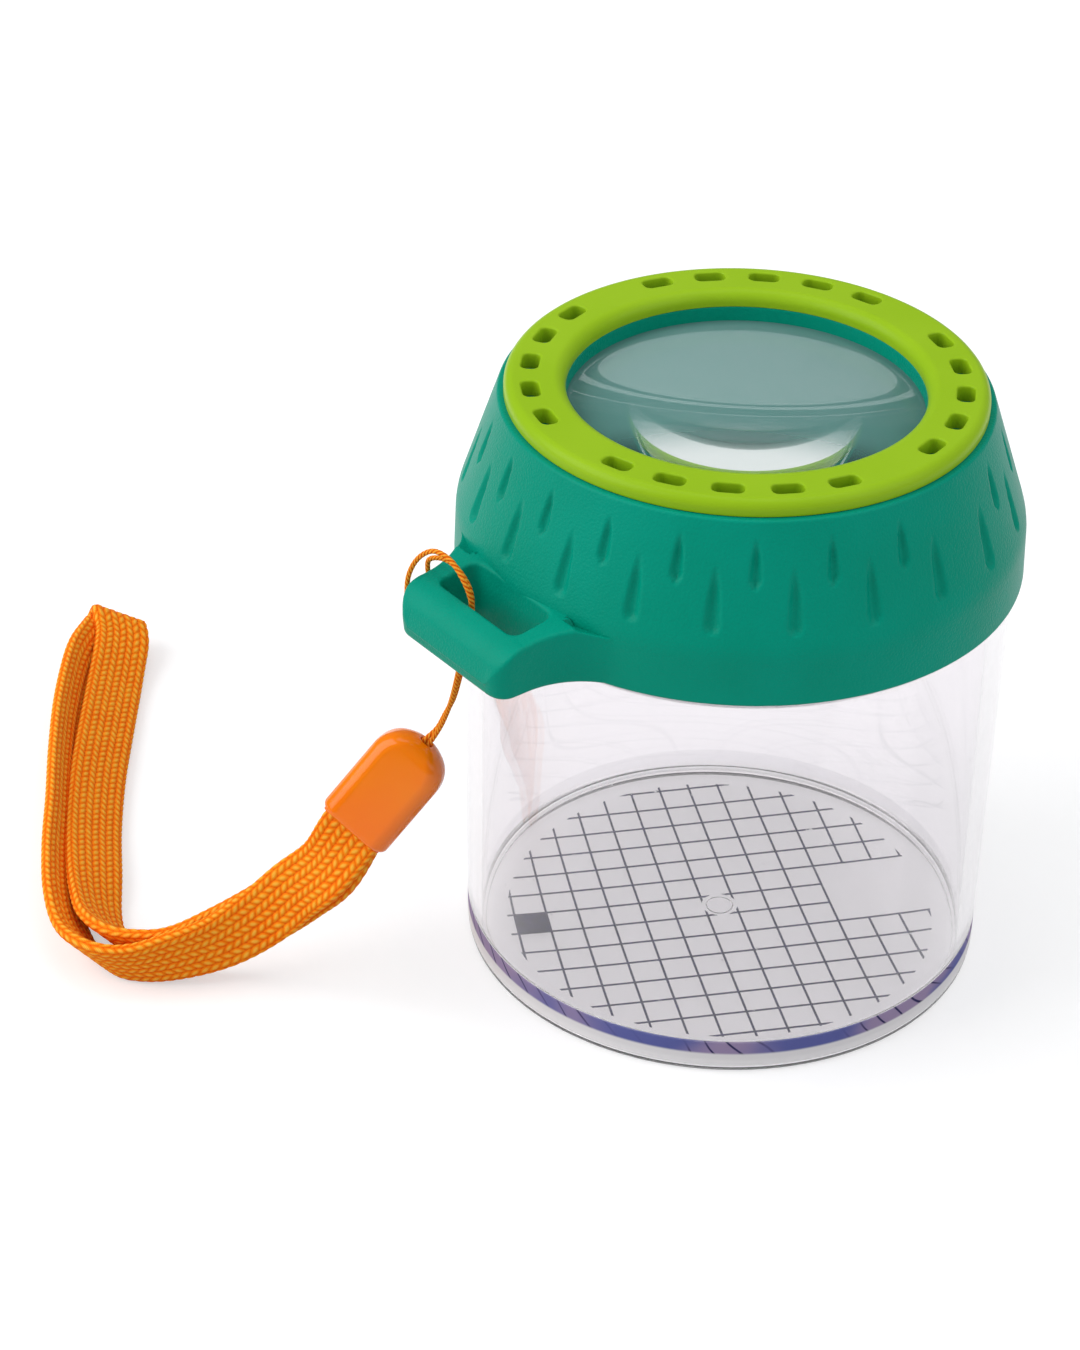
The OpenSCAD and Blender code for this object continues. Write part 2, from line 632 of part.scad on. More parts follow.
// 2-D outline with its own corner radius at each end
module cap_outline(length, width, mouth_round, tip_round) {
    translate([mouth_round, -width / 2]) square([length - mouth_round - tip_round, width]);
    translate([0, -width / 2 + mouth_round]) square([length - tip_round, width - 2 * mouth_round]);
    translate([0, -width / 2 + tip_round]) square([length, width - 2 * tip_round]);
    for (s = [-1, 1]) {
        translate([mouth_round, s * (width / 2 - mouth_round)]) circle(r = mouth_round);
        translate([length - tip_round, s * (width / 2 - tip_round)]) circle(r = tip_round);
    }
}

module in_cap() multmatrix([
    [cap_axis[0], cap_across[0], cap_flat[0], cap_mouth[0]],
    [cap_axis[1], cap_across[1], cap_flat[1], cap_mouth[1]],
    [cap_axis[2], cap_across[2], cap_flat[2], cap_mouth[2]]]) children();

module strap_cap() color(orange_colour) in_cap() difference() {
    intersection() {
        translate([0, 0, -cap_thickness / 2]) linear_extrude(cap_thickness)
            cap_outline(cap_length, cap_width, cap_mouth_round, cap_tip_round);
        translate([0, cap_width / 2, 0]) rotate([90, 0, 0]) linear_extrude(cap_width)
            cap_outline(cap_length, cap_thickness, cap_mouth_round, cap_edge_round);
        rotate([90, 0, 90]) linear_extrude(cap_length) translate([-cap_width / 2, 0])
            cap_outline(cap_width, cap_thickness, cap_edge_round, cap_edge_round);
    }
    translate([-overrun, -strap_width / 2 - cap_play, -layer_gap - strap_thickness / 2 - cap_play])
        cube([cap_pocket_depth + overrun, strap_width + 2 * cap_play,
              2 * layer_gap + strap_thickness + 2 * cap_play]);
    translate([cap_length - cap_hole_depth, 0, 0]) rotate([0, 90, 0])
        cylinder(r = strand_gap + cord_diameter / 2 + cap_play, h = cap_hole_depth + overrun);
}

module wrist_strap() color(braid_colour) {
    rows = spline(strap_rows, strap_steps);
    n = len(rows);
    mid = [for (r = rows) [r[0], r[1], r[2]]];
    w = strap_width / 2;
    h = strap_thickness / 2;
    e = strap_edge;
    corners = [[w, -h + e], [w, h - e], [w - e, h], [e - w, h],
               [-w, h - e], [-w, e - h], [e - w, -h], [w - e, -h]];
    points = [for (i = [0:n - 1])
        let (t = travel(mid, i), q = [rows[i][3], rows[i][4], rows[i][5]],
             a = unit(q - (q * t) * t),
             b = cross(t, a))
        each [for (c = corners) mid[i] + c[0] * a + c[1] * b]];
    polyhedron(points, tube_faces(n, len(corners)));
}

jar_body();
floor_grid();
lid_collar();
vent_ring();
magnifier_lens();
lens_retainer();
cord_loop();
strap_cap();
wrist_strap();
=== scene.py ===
import math
import bmesh
import bpy
import numpy as np
from mathutils import Matrix


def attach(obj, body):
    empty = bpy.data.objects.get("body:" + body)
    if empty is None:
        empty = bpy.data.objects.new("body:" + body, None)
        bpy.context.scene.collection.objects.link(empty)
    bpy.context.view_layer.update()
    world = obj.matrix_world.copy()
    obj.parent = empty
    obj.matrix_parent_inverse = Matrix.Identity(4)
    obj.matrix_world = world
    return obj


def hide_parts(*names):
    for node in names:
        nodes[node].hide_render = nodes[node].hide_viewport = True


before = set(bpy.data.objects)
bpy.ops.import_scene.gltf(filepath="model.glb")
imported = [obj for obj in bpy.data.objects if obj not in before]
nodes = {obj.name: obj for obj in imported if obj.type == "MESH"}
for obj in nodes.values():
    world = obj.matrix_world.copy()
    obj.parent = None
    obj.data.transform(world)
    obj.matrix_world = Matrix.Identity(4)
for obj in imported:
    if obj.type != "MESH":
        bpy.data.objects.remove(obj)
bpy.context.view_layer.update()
print("bug catcher jar: solids loaded")

mm = 0.001


def unit(v):
    # each row divided by its own length
    v = np.asarray(v, float)
    return v / np.linalg.norm(v, axis=-1, keepdims=True)


view = {
    "turn": math.radians(-38.2),       # from the camera's own axes to the jar's axes
    "place": (-29.36, -470.74, 357.02),
    "tilt": 0.58578,
    "roll": 0.01826,
    "lens": 65.47,
}


def turned(p):
    # a point or direction carried from the camera's level axes to the jar's: a turn about Z
    c, s = math.cos(view["turn"]), math.sin(view["turn"])
    return np.array([c * p[0] - s * p[1], s * p[0] + c * p[1], p[2]])


def aim(obj, place, side, up, ahead):
    # object placed with its X, Y and -Z along three given directions
    m = np.eye(4)
    m[:3, 0], m[:3, 1], m[:3, 2], m[:3, 3] = side, up, -np.asarray(ahead), place
    obj.matrix_world = Matrix(m.tolist())


def placed(name, data):
    obj = bpy.data.objects.new(name, data)
    bpy.context.scene.collection.objects.link(obj)
    return obj


def makeCamera():
    data = bpy.data.cameras.new("camera")
    data.sensor_fit = "VERTICAL"
    data.sensor_height = 24
    data.lens = view["lens"]
    data.clip_start = 0.01
    cam = placed("camera", data)
    t, r = view["tilt"], view["roll"]
    ahead = np.array([0, math.cos(t), -math.sin(t)])
    up = np.array([0, math.sin(t), math.cos(t)])
    side = np.array([1.0, 0, 0])
    side, up = math.cos(r) * side + math.sin(r) * up, -math.sin(r) * side + math.cos(r) * up
    aim(cam, turned(view["place"]) * mm, turned(side), turned(up), turned(ahead))
    bpy.context.scene.camera = cam


softboxes = [
    # place seen from the camera's level axes in metres, width, height, watts, warmth
    {"place": (-0.9, -0.15, 0.7), "size": (1.0, 1.0), "power": 8.6, "tint": (1, 0.99, 0.97)},
    {"place": (0.75, -0.35, 0.6), "size": (0.8, 0.8), "power": 2.0, "tint": (0.98, 0.99, 1)},
    {"place": (0.05, 0.1, 0.98), "size": (0.8, 0.5), "power": 1.7, "tint": (1, 1, 1)},
]


def makeLamps():
    target = turned((0, 0, 0.05))
    for n, box in enumerate(softboxes):
        data = bpy.data.lights.new("softbox%d" % n, "AREA")
        data.shape = "RECTANGLE"
        data.size, data.size_y = box["size"]
        data.energy = box["power"]
        data.color = box["tint"]
        place = turned(box["place"])
        ahead = unit(target - place)
        side = unit(np.cross(ahead, [0, 0, 1]))
        aim(placed("softbox%d" % n, data), place, side, np.cross(side, ahead), ahead)


class Wire:
    # one node socket; sums, products and powers of wires add their Math nodes
    def __init__(self, tree, socket=None):
        self.tree, self.socket = tree, socket

    def node(self, kind, settings, inputs, output=0):
        # a node of this type, written without ShaderNode; settings first, then values and links
        made = self.tree.nodes.new("ShaderNode" + kind)
        for key, value in settings.items():
            setattr(made, key, value)
        for key, value in inputs.items():
            if isinstance(value, Wire):
                self.tree.links.new(value.socket, made.inputs[key])
            else:
                made.inputs[key].default_value = value
        return Wire(self.tree, made.outputs[output] if made.outputs else None)

    def beside(self, output):
        # another output of this wire's own node
        return Wire(self.tree, self.socket.node.outputs[output])

    def calc(self, operation, *values):
        return self.node("Math", {"operation": operation}, dict(enumerate(values)))

    def __add__(self, other): return self.calc("ADD", self, other)
    def __radd__(self, other): return self.calc("ADD", other, self)
    def __sub__(self, other): return self.calc("SUBTRACT", self, other)
    def __rsub__(self, other): return self.calc("SUBTRACT", other, self)
    def __mul__(self, other): return self.calc("MULTIPLY", self, other)
    def __rmul__(self, other): return self.calc("MULTIPLY", other, self)
    def __pow__(self, other): return self.calc("POWER", self, other)

    def clamp(self, low, high, start=0.0, end=1.0):
        # this value from low..high carried smoothly to start..end
        return self.node("MapRange", {"interpolation_type": "SMOOTHSTEP"},
                         {0: self, 1: low, 2: high, 3: start, 4: end})

    def blend(self, a, b):
        # colour a where this is 0, colour b where it is 1
        return self.node("Mix", {"data_type": "RGBA"}, {0: self, 6: a, 7: b}, 2)

    def noise(self, where, scale, detail=2.0, rough=0.5):
        return self.node("TexNoise", {}, {"Vector": where, "Scale": scale,
                                          "Detail": detail, "Roughness": rough})


def cleared(holder):
    # the wire that the nodes of a material or world start from
    holder.use_nodes = True
    holder.node_tree.nodes.clear()
    return Wire(holder.node_tree)


def newFinish(name):
    # an empty material, its first wire and the piece's own coordinates
    mat = bpy.data.materials.new(name)
    w = cleared(mat)
    return mat, w, w.node("TexCoord", {}, {}, "Object")


def outTo(shader, kind="Material"):
    shader.node("Output" + kind, {}, {"Surface": shader})


def rgba(c):
    # a colour picked in display values 0-255, carried to linear light
    v = np.array(c, float) / 255
    v = np.where(v <= 0.04045, v / 12.92, ((v + 0.055) / 1.055) ** 2.4)
    return (*v.tolist(), 1.0)


def meshFrom(name, points, blocks, uvs=None, merge=None):
    # points in millimetres, blocks of triangles or quads, one row of uv for each face corner
    mesh = bpy.data.meshes.new(name)
    mesh.from_pydata(points * mm, [], [face for b in blocks for face in b.tolist()])
    if uvs is not None:
        layer = mesh.uv_layers.new(name="weave")
        layer.data.foreach_set("uv", np.concatenate(uvs).astype(np.float32).ravel())
    mesh.validate()
    obj = placed(name, mesh)
    if merge:
        weldPoints(obj, merge)
    mesh.polygons.foreach_set("use_smooth", np.ones(len(mesh.polygons), bool))
    mesh.set_sharp_from_angle(angle=math.radians(50))
    return obj


def weldPoints(obj, distance):
    bm = bmesh.new()
    bm.from_mesh(obj.data)
    bmesh.ops.remove_doubles(bm, verts=bm.verts, dist=distance * mm)
    bmesh.ops.recalc_face_normals(bm, faces=bm.faces)
    bm.to_mesh(obj.data)
    bm.free()


def dress(obj, finish, body, node):
    obj.data.materials.clear()
    obj.data.materials.append(finish)
    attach(obj, body)
    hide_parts(node)


def gridQuads(rows, cols, closeRows=False, closeCols=True):
    # corner numbers of the quads between neighbouring rows and columns of a grid
    i = np.arange(rows if closeRows else rows - 1)[:, None]
    j = np.arange(cols if closeCols else cols - 1)[None, :]
    a, b = i * cols + j, i * cols + (j + 1) % cols
    c, d = ((i + 1) % rows) * cols + (j + 1) % cols, ((i + 1) % rows) * cols + j
    return np.stack([a, b, c, d], -1).reshape(-1, 4)


def fan(ring, pole, flip):
    # triangles from one ring of points to its pole
    a, b = ring, np.roll(ring, -1)
    p = np.full(len(ring), pole)
    return np.stack([b, a, p] if flip else [a, b, p], -1)


def tubeFaces(rows, cols):
    # quads of a tube, and triangles to the two poles that follow its points
    n, ring = rows * cols, np.arange(cols)
    return [gridQuads(rows, cols), fan(ring, n, True), fan(ring + n - cols, n + 1, False)]


def runOf(line):
    # length from the start of a line to each of its points
    return np.concatenate([[0], np.cumsum(np.linalg.norm(np.diff(line, axis=0), axis=1))])


def sampled(line, run, at):
    # points of a line at given lengths along it
    return np.stack([np.interp(at, run, v) for v in line.T], 1)


def evenly(loop, count):
    # points at even steps round a closed loop
    closed = np.concatenate([loop, loop[:1]])
    run = runOf(closed)
    return sampled(closed, run, np.arange(count) / count * run[-1])


def fourQuarters(q):
    # a closed section from its first quarter
    return np.concatenate([q, q[::-1] * [-1, 1], -q, q[::-1] * [1, -1]])


def roundedBox(halfWidth, halfThick, edge, steps):
    # closed section: rectangle with round corners of this many points each
    t = np.linspace(0, math.pi / 2, steps)
    arc = np.stack([np.cos(t), np.sin(t)], 1) * edge
    return fourQuarters(arc + [halfWidth - edge, halfThick - edge])


def onSlot(q, half, corner):
    # each direction q from a slot's middle: its point on the slot's inner box, and the way out
    # from there to the rounded outline
    core = np.array(half) - corner
    q = q / (np.abs(q) / half).max(1, keepdims=True)
    near = np.clip(q, -core, core)
    return near, unit(q - near + 1e-9 * q)


def swapRows(line, old, radius, z):
    # the marked rows of a profile give place to rows of the given radii and heights
    first = np.argmax(old)
    fresh = np.stack([radius + 0 * z, z], 1)
    return np.concatenate([line[:first], fresh, line[first + old.sum():]])


def rounded(corners, steps=5):
    # outline through rows x, y, radius: each corner cut back by its tangent length and
    # replaced by an arc, end points kept
    c = np.array([[*r, 0][:3] for r in corners], float)
    out = [c[0, :2]]
    for k in range(1, len(c) - 1):
        p, r = c[k, :2], c[k, 2]
        if r <= 0:
            out.append(p)
            continue
        a, b = unit(c[k - 1, :2] - p), unit(c[k + 1, :2] - p)
        half = math.acos(float(np.clip(a @ b, -1, 1))) / 2
        back = r / math.tan(half)
        centre = p + unit(a + b) * r / math.sin(half)
        s, e = p + a * back - centre, p + b * back - centre
        turn = math.atan2(s[0] * e[1] - s[1] * e[0], s @ e)
        t = np.linspace(0, turn, steps + 1)[:, None]
        out += list(centre + np.cos(t) * s + np.sin(t) * np.array([-s[1], s[0]]))
    out.append(c[-1, :2])
    return np.array(out)


def refined(line, longest, guard=0.12):
    # extra points on long stretches, with one close to each end to hold the shading
    out = [line[0]]
    for a, b in zip(line[:-1], line[1:]):
        run = float(np.linalg.norm(b - a))
        n = max(1, int(math.ceil(run / longest)))
        t = np.linspace(0, 1, n + 1)[1:]
        if run > 5 * guard:
            t = np.unique(np.concatenate([[guard / run], t, [1 - guard / run]]))
        out += [a + (b - a) * v for v in t]
    return np.array(out)


def lathe(profile, angles, bend=None):
    # profile rows r, z turned about the axis: x = r cos a, y = r sin a; bend moves r and z first
    r, z = (profile[:, k:k + 1] + 0 * angles for k in (0, 1))
    a = 0 * r + angles
    if bend is not None:
        r, z = bend(r, z, a)
    return np.stack([r * np.cos(a), r * np.sin(a), z], -1)


def solidLathe(profile, columns, bend=None):
    # closed turned solid; a profile that starts and ends on the axis gets one pole at each end,
    # any other is closed on itself
    angles = np.arange(columns) * 2 * math.pi / columns
    poles = profile[0, 0] < 1e-6
    inner = profile[1:-1] if poles else profile
    pts = lathe(inner, angles, bend).reshape(-1, 3)
    if poles:
        pts = np.concatenate([pts, [[0, 0, profile[0, 1]], [0, 0, profile[-1, 1]]]])
        return pts, tubeFaces(len(inner), columns)
    return pts, [gridQuads(len(inner), columns, closeRows=True)]


def joinSets(parts):
    # several sets of points and faces as one
    pts, blocks, base = [], [], 0
    for p, bs in parts:
        pts.append(p)
        blocks += [b + base for b in bs]
        base += len(p)
    return np.concatenate(pts), blocks


def smoothStep(x, a, b):
    t = np.clip((x - a) / (b - a), 0, 1)
    return t * t * (3 - 2 * t)


makeCamera()
makeLamps()
print("camera and lamps set")


route = {
    "capMouth": np.array([-56.9, 19.9, 29.5]),
    "capAxis": unit([0.54, -0.28, 0.79]),
    "capLength": 18.3,
    "holeDepth": 4.3,
    "strandGap": 0.43,
    "layerGap": 1.05,
    "pocket": 12.0,
    "stagger": 5.0,
    "cord": [
        [-46.1, 13.2, 46.5], [-45.9, 11.8, 49.5], [-46.2, 9.7, 54], [-46.6, 7.6, 60],
        [-46.9, 5.9, 66], [-47.6, 3.6, 71], [-48.5, 1.9, 75.5], [-49.3, 2.4, 79],
        [-49.8, 5, 81.6], [-50.4, 8.4, 81.8], [-51, 11.4, 79.3], [-51.5, 13.1, 75.5],
        [-51.6, 13.3, 71], [-51.4, 13.2, 68.1], [-50.5, 11.3, 66.8], [-48.8, 8.2, 66.9],
        [-46.9, 7.5, 67.1], [-45.4, 8.7, 66.9], [-45.2, 11.2, 66.8], [-46.1, 13.5, 67.8],
        [-46.9, 13.4, 70.5], [-47.7, 13.3, 74], [-48, 12.8, 77.3], [-47.9, 9, 79.2],
        [-47.6, 6, 78.6], [-47.1, 4, 76], [-46.5, 4.4, 71.5], [-45.9, 5.8, 66],
        [-45.6, 8, 60], [-45.3, 10.2, 54], [-45.2, 12.6, 49.5], [-45.7, 14, 46.3]],
    # x, y, z, tilt of the width from the vertical, heading of the tilt
    "strap": [
        [-61, 22, 22.5, 60, 95], [-64, 26, 17, 50, 105], [-68, 29, 12, 40, 120],
        [-74, 32, 8, 25, 145], [-81, 35.5, 6, 15, 190], [-86, 39, 5, 25, 215],
        [-89, 43.5, 5, 35, 190], [-89, 50, 4.5, 40, 170], [-86.5, 57.5, 5, 35, 160],
        [-81, 67.5, 5, 30, 150], [-74, 78.5, 5, 25, 145], [-66.5, 90, 5, 25, 145],
        [-58.5, 101.5, 5, 25, 140], [-51, 111, 5, 25, 140], [-46, 116, 5, 30, 130],
        [-40.5, 120, 4.5, 40, 125], [-37.5, 122.5, 3.6, 60, 120], [-35.8, 123.1, 5, 62, 135],
        [-36.2, 121.4, 6.6, 65, 150], [-38, 117.5, 5.6, 65, 150], [-41.5, 113, 4.5, 60, 150],
        [-46, 107.5, 3.6, 60, 145], [-53.5, 98, 3.5, 60, 140], [-62, 87, 3.5, 60, 145],
        [-70, 75.5, 3.5, 60, 145], [-76.5, 65, 4, 60, 145], [-81.5, 56.5, 4.1, 50, 150],
        [-84, 50.5, 4.5, 45, 165], [-84.5, 45, 5, 35, 185], [-82.5, 40.5, 5, 20, 210],
        [-78.5, 37, 5.5, 15, 185], [-72.5, 34, 7.5, 25, 140], [-66.5, 30.5, 11, 35, 115],
        [-62, 26.5, 16, 50, 100], [-59, 22.5, 21.5, 60, 95]],
}
capFlat = unit(np.cross(route["capAxis"], [-0.385, 0.753, 0.533]))
capAcross = np.cross(capFlat, route["capAxis"])
capTip = route["capMouth"] + route["capLength"] * route["capAxis"]


def flow(rows, spacing):
    # Catmull-Rom curve through the rows, then rows at even steps of its length
    p = np.asarray(rows, float)
    p = np.concatenate([[2 * p[0] - p[1]], p, [2 * p[-1] - p[-2]]])
    u = (np.arange(24) / 24)[None, :, None]
    a, b, c, d = (p[k:len(p) - 3 + k, None, :] for k in range(4))
    fine = (2 * b + (c - a) * u + (2 * a - 5 * b + 4 * c - d) * u ** 2
            + (3 * b - a - 3 * c + d) * u ** 3) / 2
    fine = np.concatenate([fine.reshape(-1, p.shape[1]), p[-2:-1]])
    along = runOf(fine[:, :3])
    s = np.linspace(0, along[-1], int(round(along[-1] / spacing)) + 1)
    return sampled(fine, along, s), s


def framesOn(line, width):
    # width and thickness directions: width made square to the travel
    t = unit(np.gradient(line, axis=0))
    a = unit(width - (width * t).sum(1, keepdims=True) * t)
    return a, np.cross(t, a)


def sleeve(line, a, b, across, uv):
    # tube: middle + across[..., 0] * a + across[..., 1] * b, with a pole at each end;
    # uv holds the pattern coordinates of the grid with its last column repeated
    pts = line[:, None] + across[..., :1] * a[:, None] + across[..., 1:] * b[:, None]
    rows, cols = pts.shape[:2]
    flat = np.concatenate([pts.reshape(-1, 3), line[:1], line[-1:]])
    blocks = tubeFaces(rows, cols)
    i, j = np.divmod(np.arange(len(blocks[0])), cols)
    uvq = np.stack([uv[i, j], uv[i, j + 1], uv[i + 1, j + 1], uv[i + 1, j]], 1).reshape(-1, 2)
    return flat, blocks, [uvq] + [np.zeros((b.size, 2)) for b in blocks[1:]]


braid = {
    "width": 10.0, "thickness": 2.0, "edge": 0.92,
    "columns": 18,          # yarn columns round the section
    "perColumn": 5,         # points across one column
    "stitch": 1.5,          # spacing of the stitches along the strap
    "slant": 0.62,          # how far a stitch leans over one column, in stitches
    "step": 0.31,           # row spacing along the strap
    "relief": 0.22,
    # crest is a painted highlight on the stitch tops, and dark is the painted shade in the gaps
    "crest": (255, 196, 72), "light": (255, 148, 24), "mid": (255, 124, 8), "dark": (244, 80, 4),
}


def plait(u, v, slant):
    # stitch height 0..1: rounded across each column, rounded along each leaning stitch,
    # neighbouring columns leaning opposite ways and half a stitch apart
    col = np.floor(u + 1e-6)
    lean = 1 - 2 * np.mod(col, 2)
    a = u - col - 0.5
    b = v + lean * slant * a + 0.5 * np.mod(col, 2)
    acrossPart = np.sqrt(np.clip(1 - (1.9 * a) ** 2, 0.04, 1))
    alongPart = np.abs(np.cos(math.pi * b)) ** 0.55
    return acrossPart * (0.25 + 0.75 * alongPart)


def strapRows():
    rows = np.array(route["strap"], float)
    tilt, head = np.radians(rows[:, 3]), np.radians(rows[:, 4])
    width = np.stack([np.sin(tilt) * np.cos(head), np.sin(tilt) * np.sin(head), np.cos(tilt)], 1)
    rows = np.concatenate([rows[:, :3], width], 1)

    def inCap(depth, side):
        return [*(route["capMouth"] + depth * route["capAxis"] + side * route["layerGap"] * capFlat),
                *capAcross]
    near, far = route["pocket"], route["pocket"] - route["stagger"]
    return np.concatenate([[inCap(near, 1), inCap(near / 2, 1), inCap(0, 1)], rows,
                           [inCap(0, -1), inCap(far / 2, -1), inCap(far, -1)]])


def makeStrap():
    line, s = flow(strapRows(), braid["step"])
    a, b = framesOn(line[:, :3], line[:, 3:])
    count = braid["columns"] * braid["perColumn"]
    wide, thick, edge = braid["width"] / 2, braid["thickness"] / 2, braid["edge"]
    p = evenly(roundedBox(wide, thick, edge, 25), count)
    core = np.array([wide - edge, thick - edge])
    out = unit(p - np.clip(p, -core, core))
    u = np.arange(count + 1) / braid["perColumn"]
    v = s / braid["stitch"]
    uv = np.stack(np.broadcast_arrays(u[None, :], v[:, None]), -1)
    h = plait(uv[:, :-1, 0], uv[:, :-1, 1], braid["slant"])
    shrink = np.minimum(1, np.minimum(s, s[-1] - s) / 0.5)[:, None, None]
    across = (p[None] + (h[..., None] - 1) * braid["relief"] * out[None]) * (0.3 + 0.7 * shrink)
    pts, blocks, uvs = sleeve(line[:, :3], a, b, across, uv)
    obj = meshFrom("wrist_strap_braid", pts, blocks, uvs)
    return obj, line[:, :3], s[-1]


yarn = {
    "diameter": 0.8, "step": 0.13, "around": 12, "pitch": 0.85, "relief": 0.08,
    # crest is a painted highlight on the strand tops, and dark is the painted shade between strands
    "crest": (255, 190, 70), "light": (255, 146, 24), "mid": (253, 118, 8), "dark": (216, 66, 4),
}


def makeCord():
    inside = [-route["holeDepth"], -route["holeDepth"] / 2, 0]
    first = [capTip + d * route["capAxis"] - route["strandGap"] * capAcross for d in inside]
    last = [capTip + d * route["capAxis"] + route["strandGap"] * capAcross for d in inside[::-1]]
    line, s = flow(np.concatenate([first, route["cord"], last]), yarn["step"])
    a, b = framesOn(line, np.broadcast_to(capFlat, line.shape))
    n = yarn["around"]
    w = np.arange(n + 1) / n
    v = s / yarn["pitch"]
    uv = np.stack(np.broadcast_arrays(w[None, :] * 3, v[:, None]), -1)
    # three strands laid in a twist: radius follows the distance to the nearest strand's crest
    crest = np.abs(np.cos(math.pi * (uv[:, :-1, 0] + uv[:, :-1, 1])))
    r = yarn["diameter"] / 2 - yarn["relief"] * (1 - crest ** 0.7)
    ang = 2 * math.pi * w[:-1]
    across = np.stack([r * np.cos(ang), r * np.sin(ang)], -1)
    pts, blocks, uvs = sleeve(line, a, b, across, uv)
    return meshFrom("cord_loop_twist", pts, blocks, uvs), line, s[-1]


cap = {
    "halfWidth": 6.0, "halfThick": 3.3, "mouthRound": 1.0, "tipRound": 5.4, "edgeRound": 2.6,
    "pocketWidth": 5.15, "pocketThick": 2.2, "hole": 0.98, "around": 128,
}


def makeCap():
    # rings of place along the axis, half width, half thickness and corner radius
    length, hole, mouth, tip = route["capLength"], cap["hole"], cap["mouthRound"], cap["tipRound"]
    wide, thick, edge = cap["halfWidth"], cap["halfThick"], cap["edgeRound"]
    # tip end: hole from its bottom out to the lip, then the body back to the mouth and the pocket
    rings = [(s, hole, hole, hole) for s in (length - route["holeDepth"] + 0.05, length - 0.5, length - 0.3)]
    rings.append((length - 0.1, 1.15, 1.12, 1.1))
    for t in np.radians(np.linspace(83, 0, 22)):
        s = length - tip * (1 - math.sin(t))
        w = max(wide - tip * (1 - math.cos(t)), 1.35)
        d = max(0.0, s - (length - edge))
        th = max(thick - edge + math.sqrt(max(0.0, edge ** 2 - d * d)), 1.3)
        rings.append((s, w, th, min(edge, w, th)))
    rings += [(s, wide, thick, edge) for s in np.linspace(length - tip - 0.6, mouth + 0.2, 14)]
    for t in np.radians(np.linspace(0, 88, 8)):
        c = mouth * (1 - math.cos(t))
        rings.append((mouth * (1 - math.sin(t)), wide - c, thick - c, edge - c * 0.6))
    wide, thick = cap["pocketWidth"], cap["pocketThick"]
    rings += [(0.0, wide + 0.14, thick + 0.07, 0.6), (0.08, wide + 0.02, thick + 0.01, 0.5)]
    rings += [(s, wide, thick, 0.45) for s in (0.3, 3.0, 8.0, route["pocket"])]

    def onAxis(s):
        return route["capMouth"] + s * route["capAxis"]
    pts = []
    for s, w, th, e in rings:
        sec = roundedBox(w, th, min(e, w - 1e-4, th - 1e-4), cap["around"] // 4)
        pts.append(onAxis(s) + sec[:, :1] * capAcross + sec[:, 1:] * capFlat)
    flat = np.concatenate([*pts, [onAxis(rings[0][0]), onAxis(rings[-1][0])]])
    return meshFrom("strap_cap_shell", flat, tubeFaces(len(pts), len(pts[0])), merge=0.0005)


strapObj, strapLine, strapLength = makeStrap()
cordObj, cordLine, cordLength = makeCord()
capObj = makeCap()
print("cord %.1f mm, strap %.1f mm" % (cordLength, strapLength))
(capTip * mm).tolist()
(route["capMouth"] * mm).tolist()


jar = {
    "footR": 40.2, "topR": 41.25, "boreFootR": 37.7, "boreR": 38.1, "shoulder": 67.6,
    "neckR": 39.7, "rim": 79.0, "floorLow": 1.2, "floorTop": 4.0, "band": 2.2,
    "markR": 2.1, "markDrop": 0.4, "columns": 360, "neckLow": 68.4, "neckHigh": 78.4,
}
thread = {
    "lead": 10.0, "starts": 2, "height": 1.0, "root": 1.8, "crest": 1.0,
    "neckStart": 70.4, "neckAngle": 20.0, "neckSweep": 150.0,
    "drop": 2.2, "lidOffset": 25.0, "lidSweep": 120.0,
}


def ridgeHeight(z, angle, startZ, startAngle, sweep):
    # height of the thread over the wall: flat crest, sloped flanks, run-out at both ends
    turn = np.mod(np.degrees(angle) - startAngle, 360 / thread["starts"])
    off = np.abs(z - (startZ + thread["lead"] * turn / 360))
    flank = 1 - smoothStep(off, thread["crest"] / 2 - 0.1, thread["root"] / 2 + 0.05)
    fade = smoothStep(turn, 0, 14) * (1 - smoothStep(turn, sweep - 14, sweep))
    return thread["height"] * flank * fade


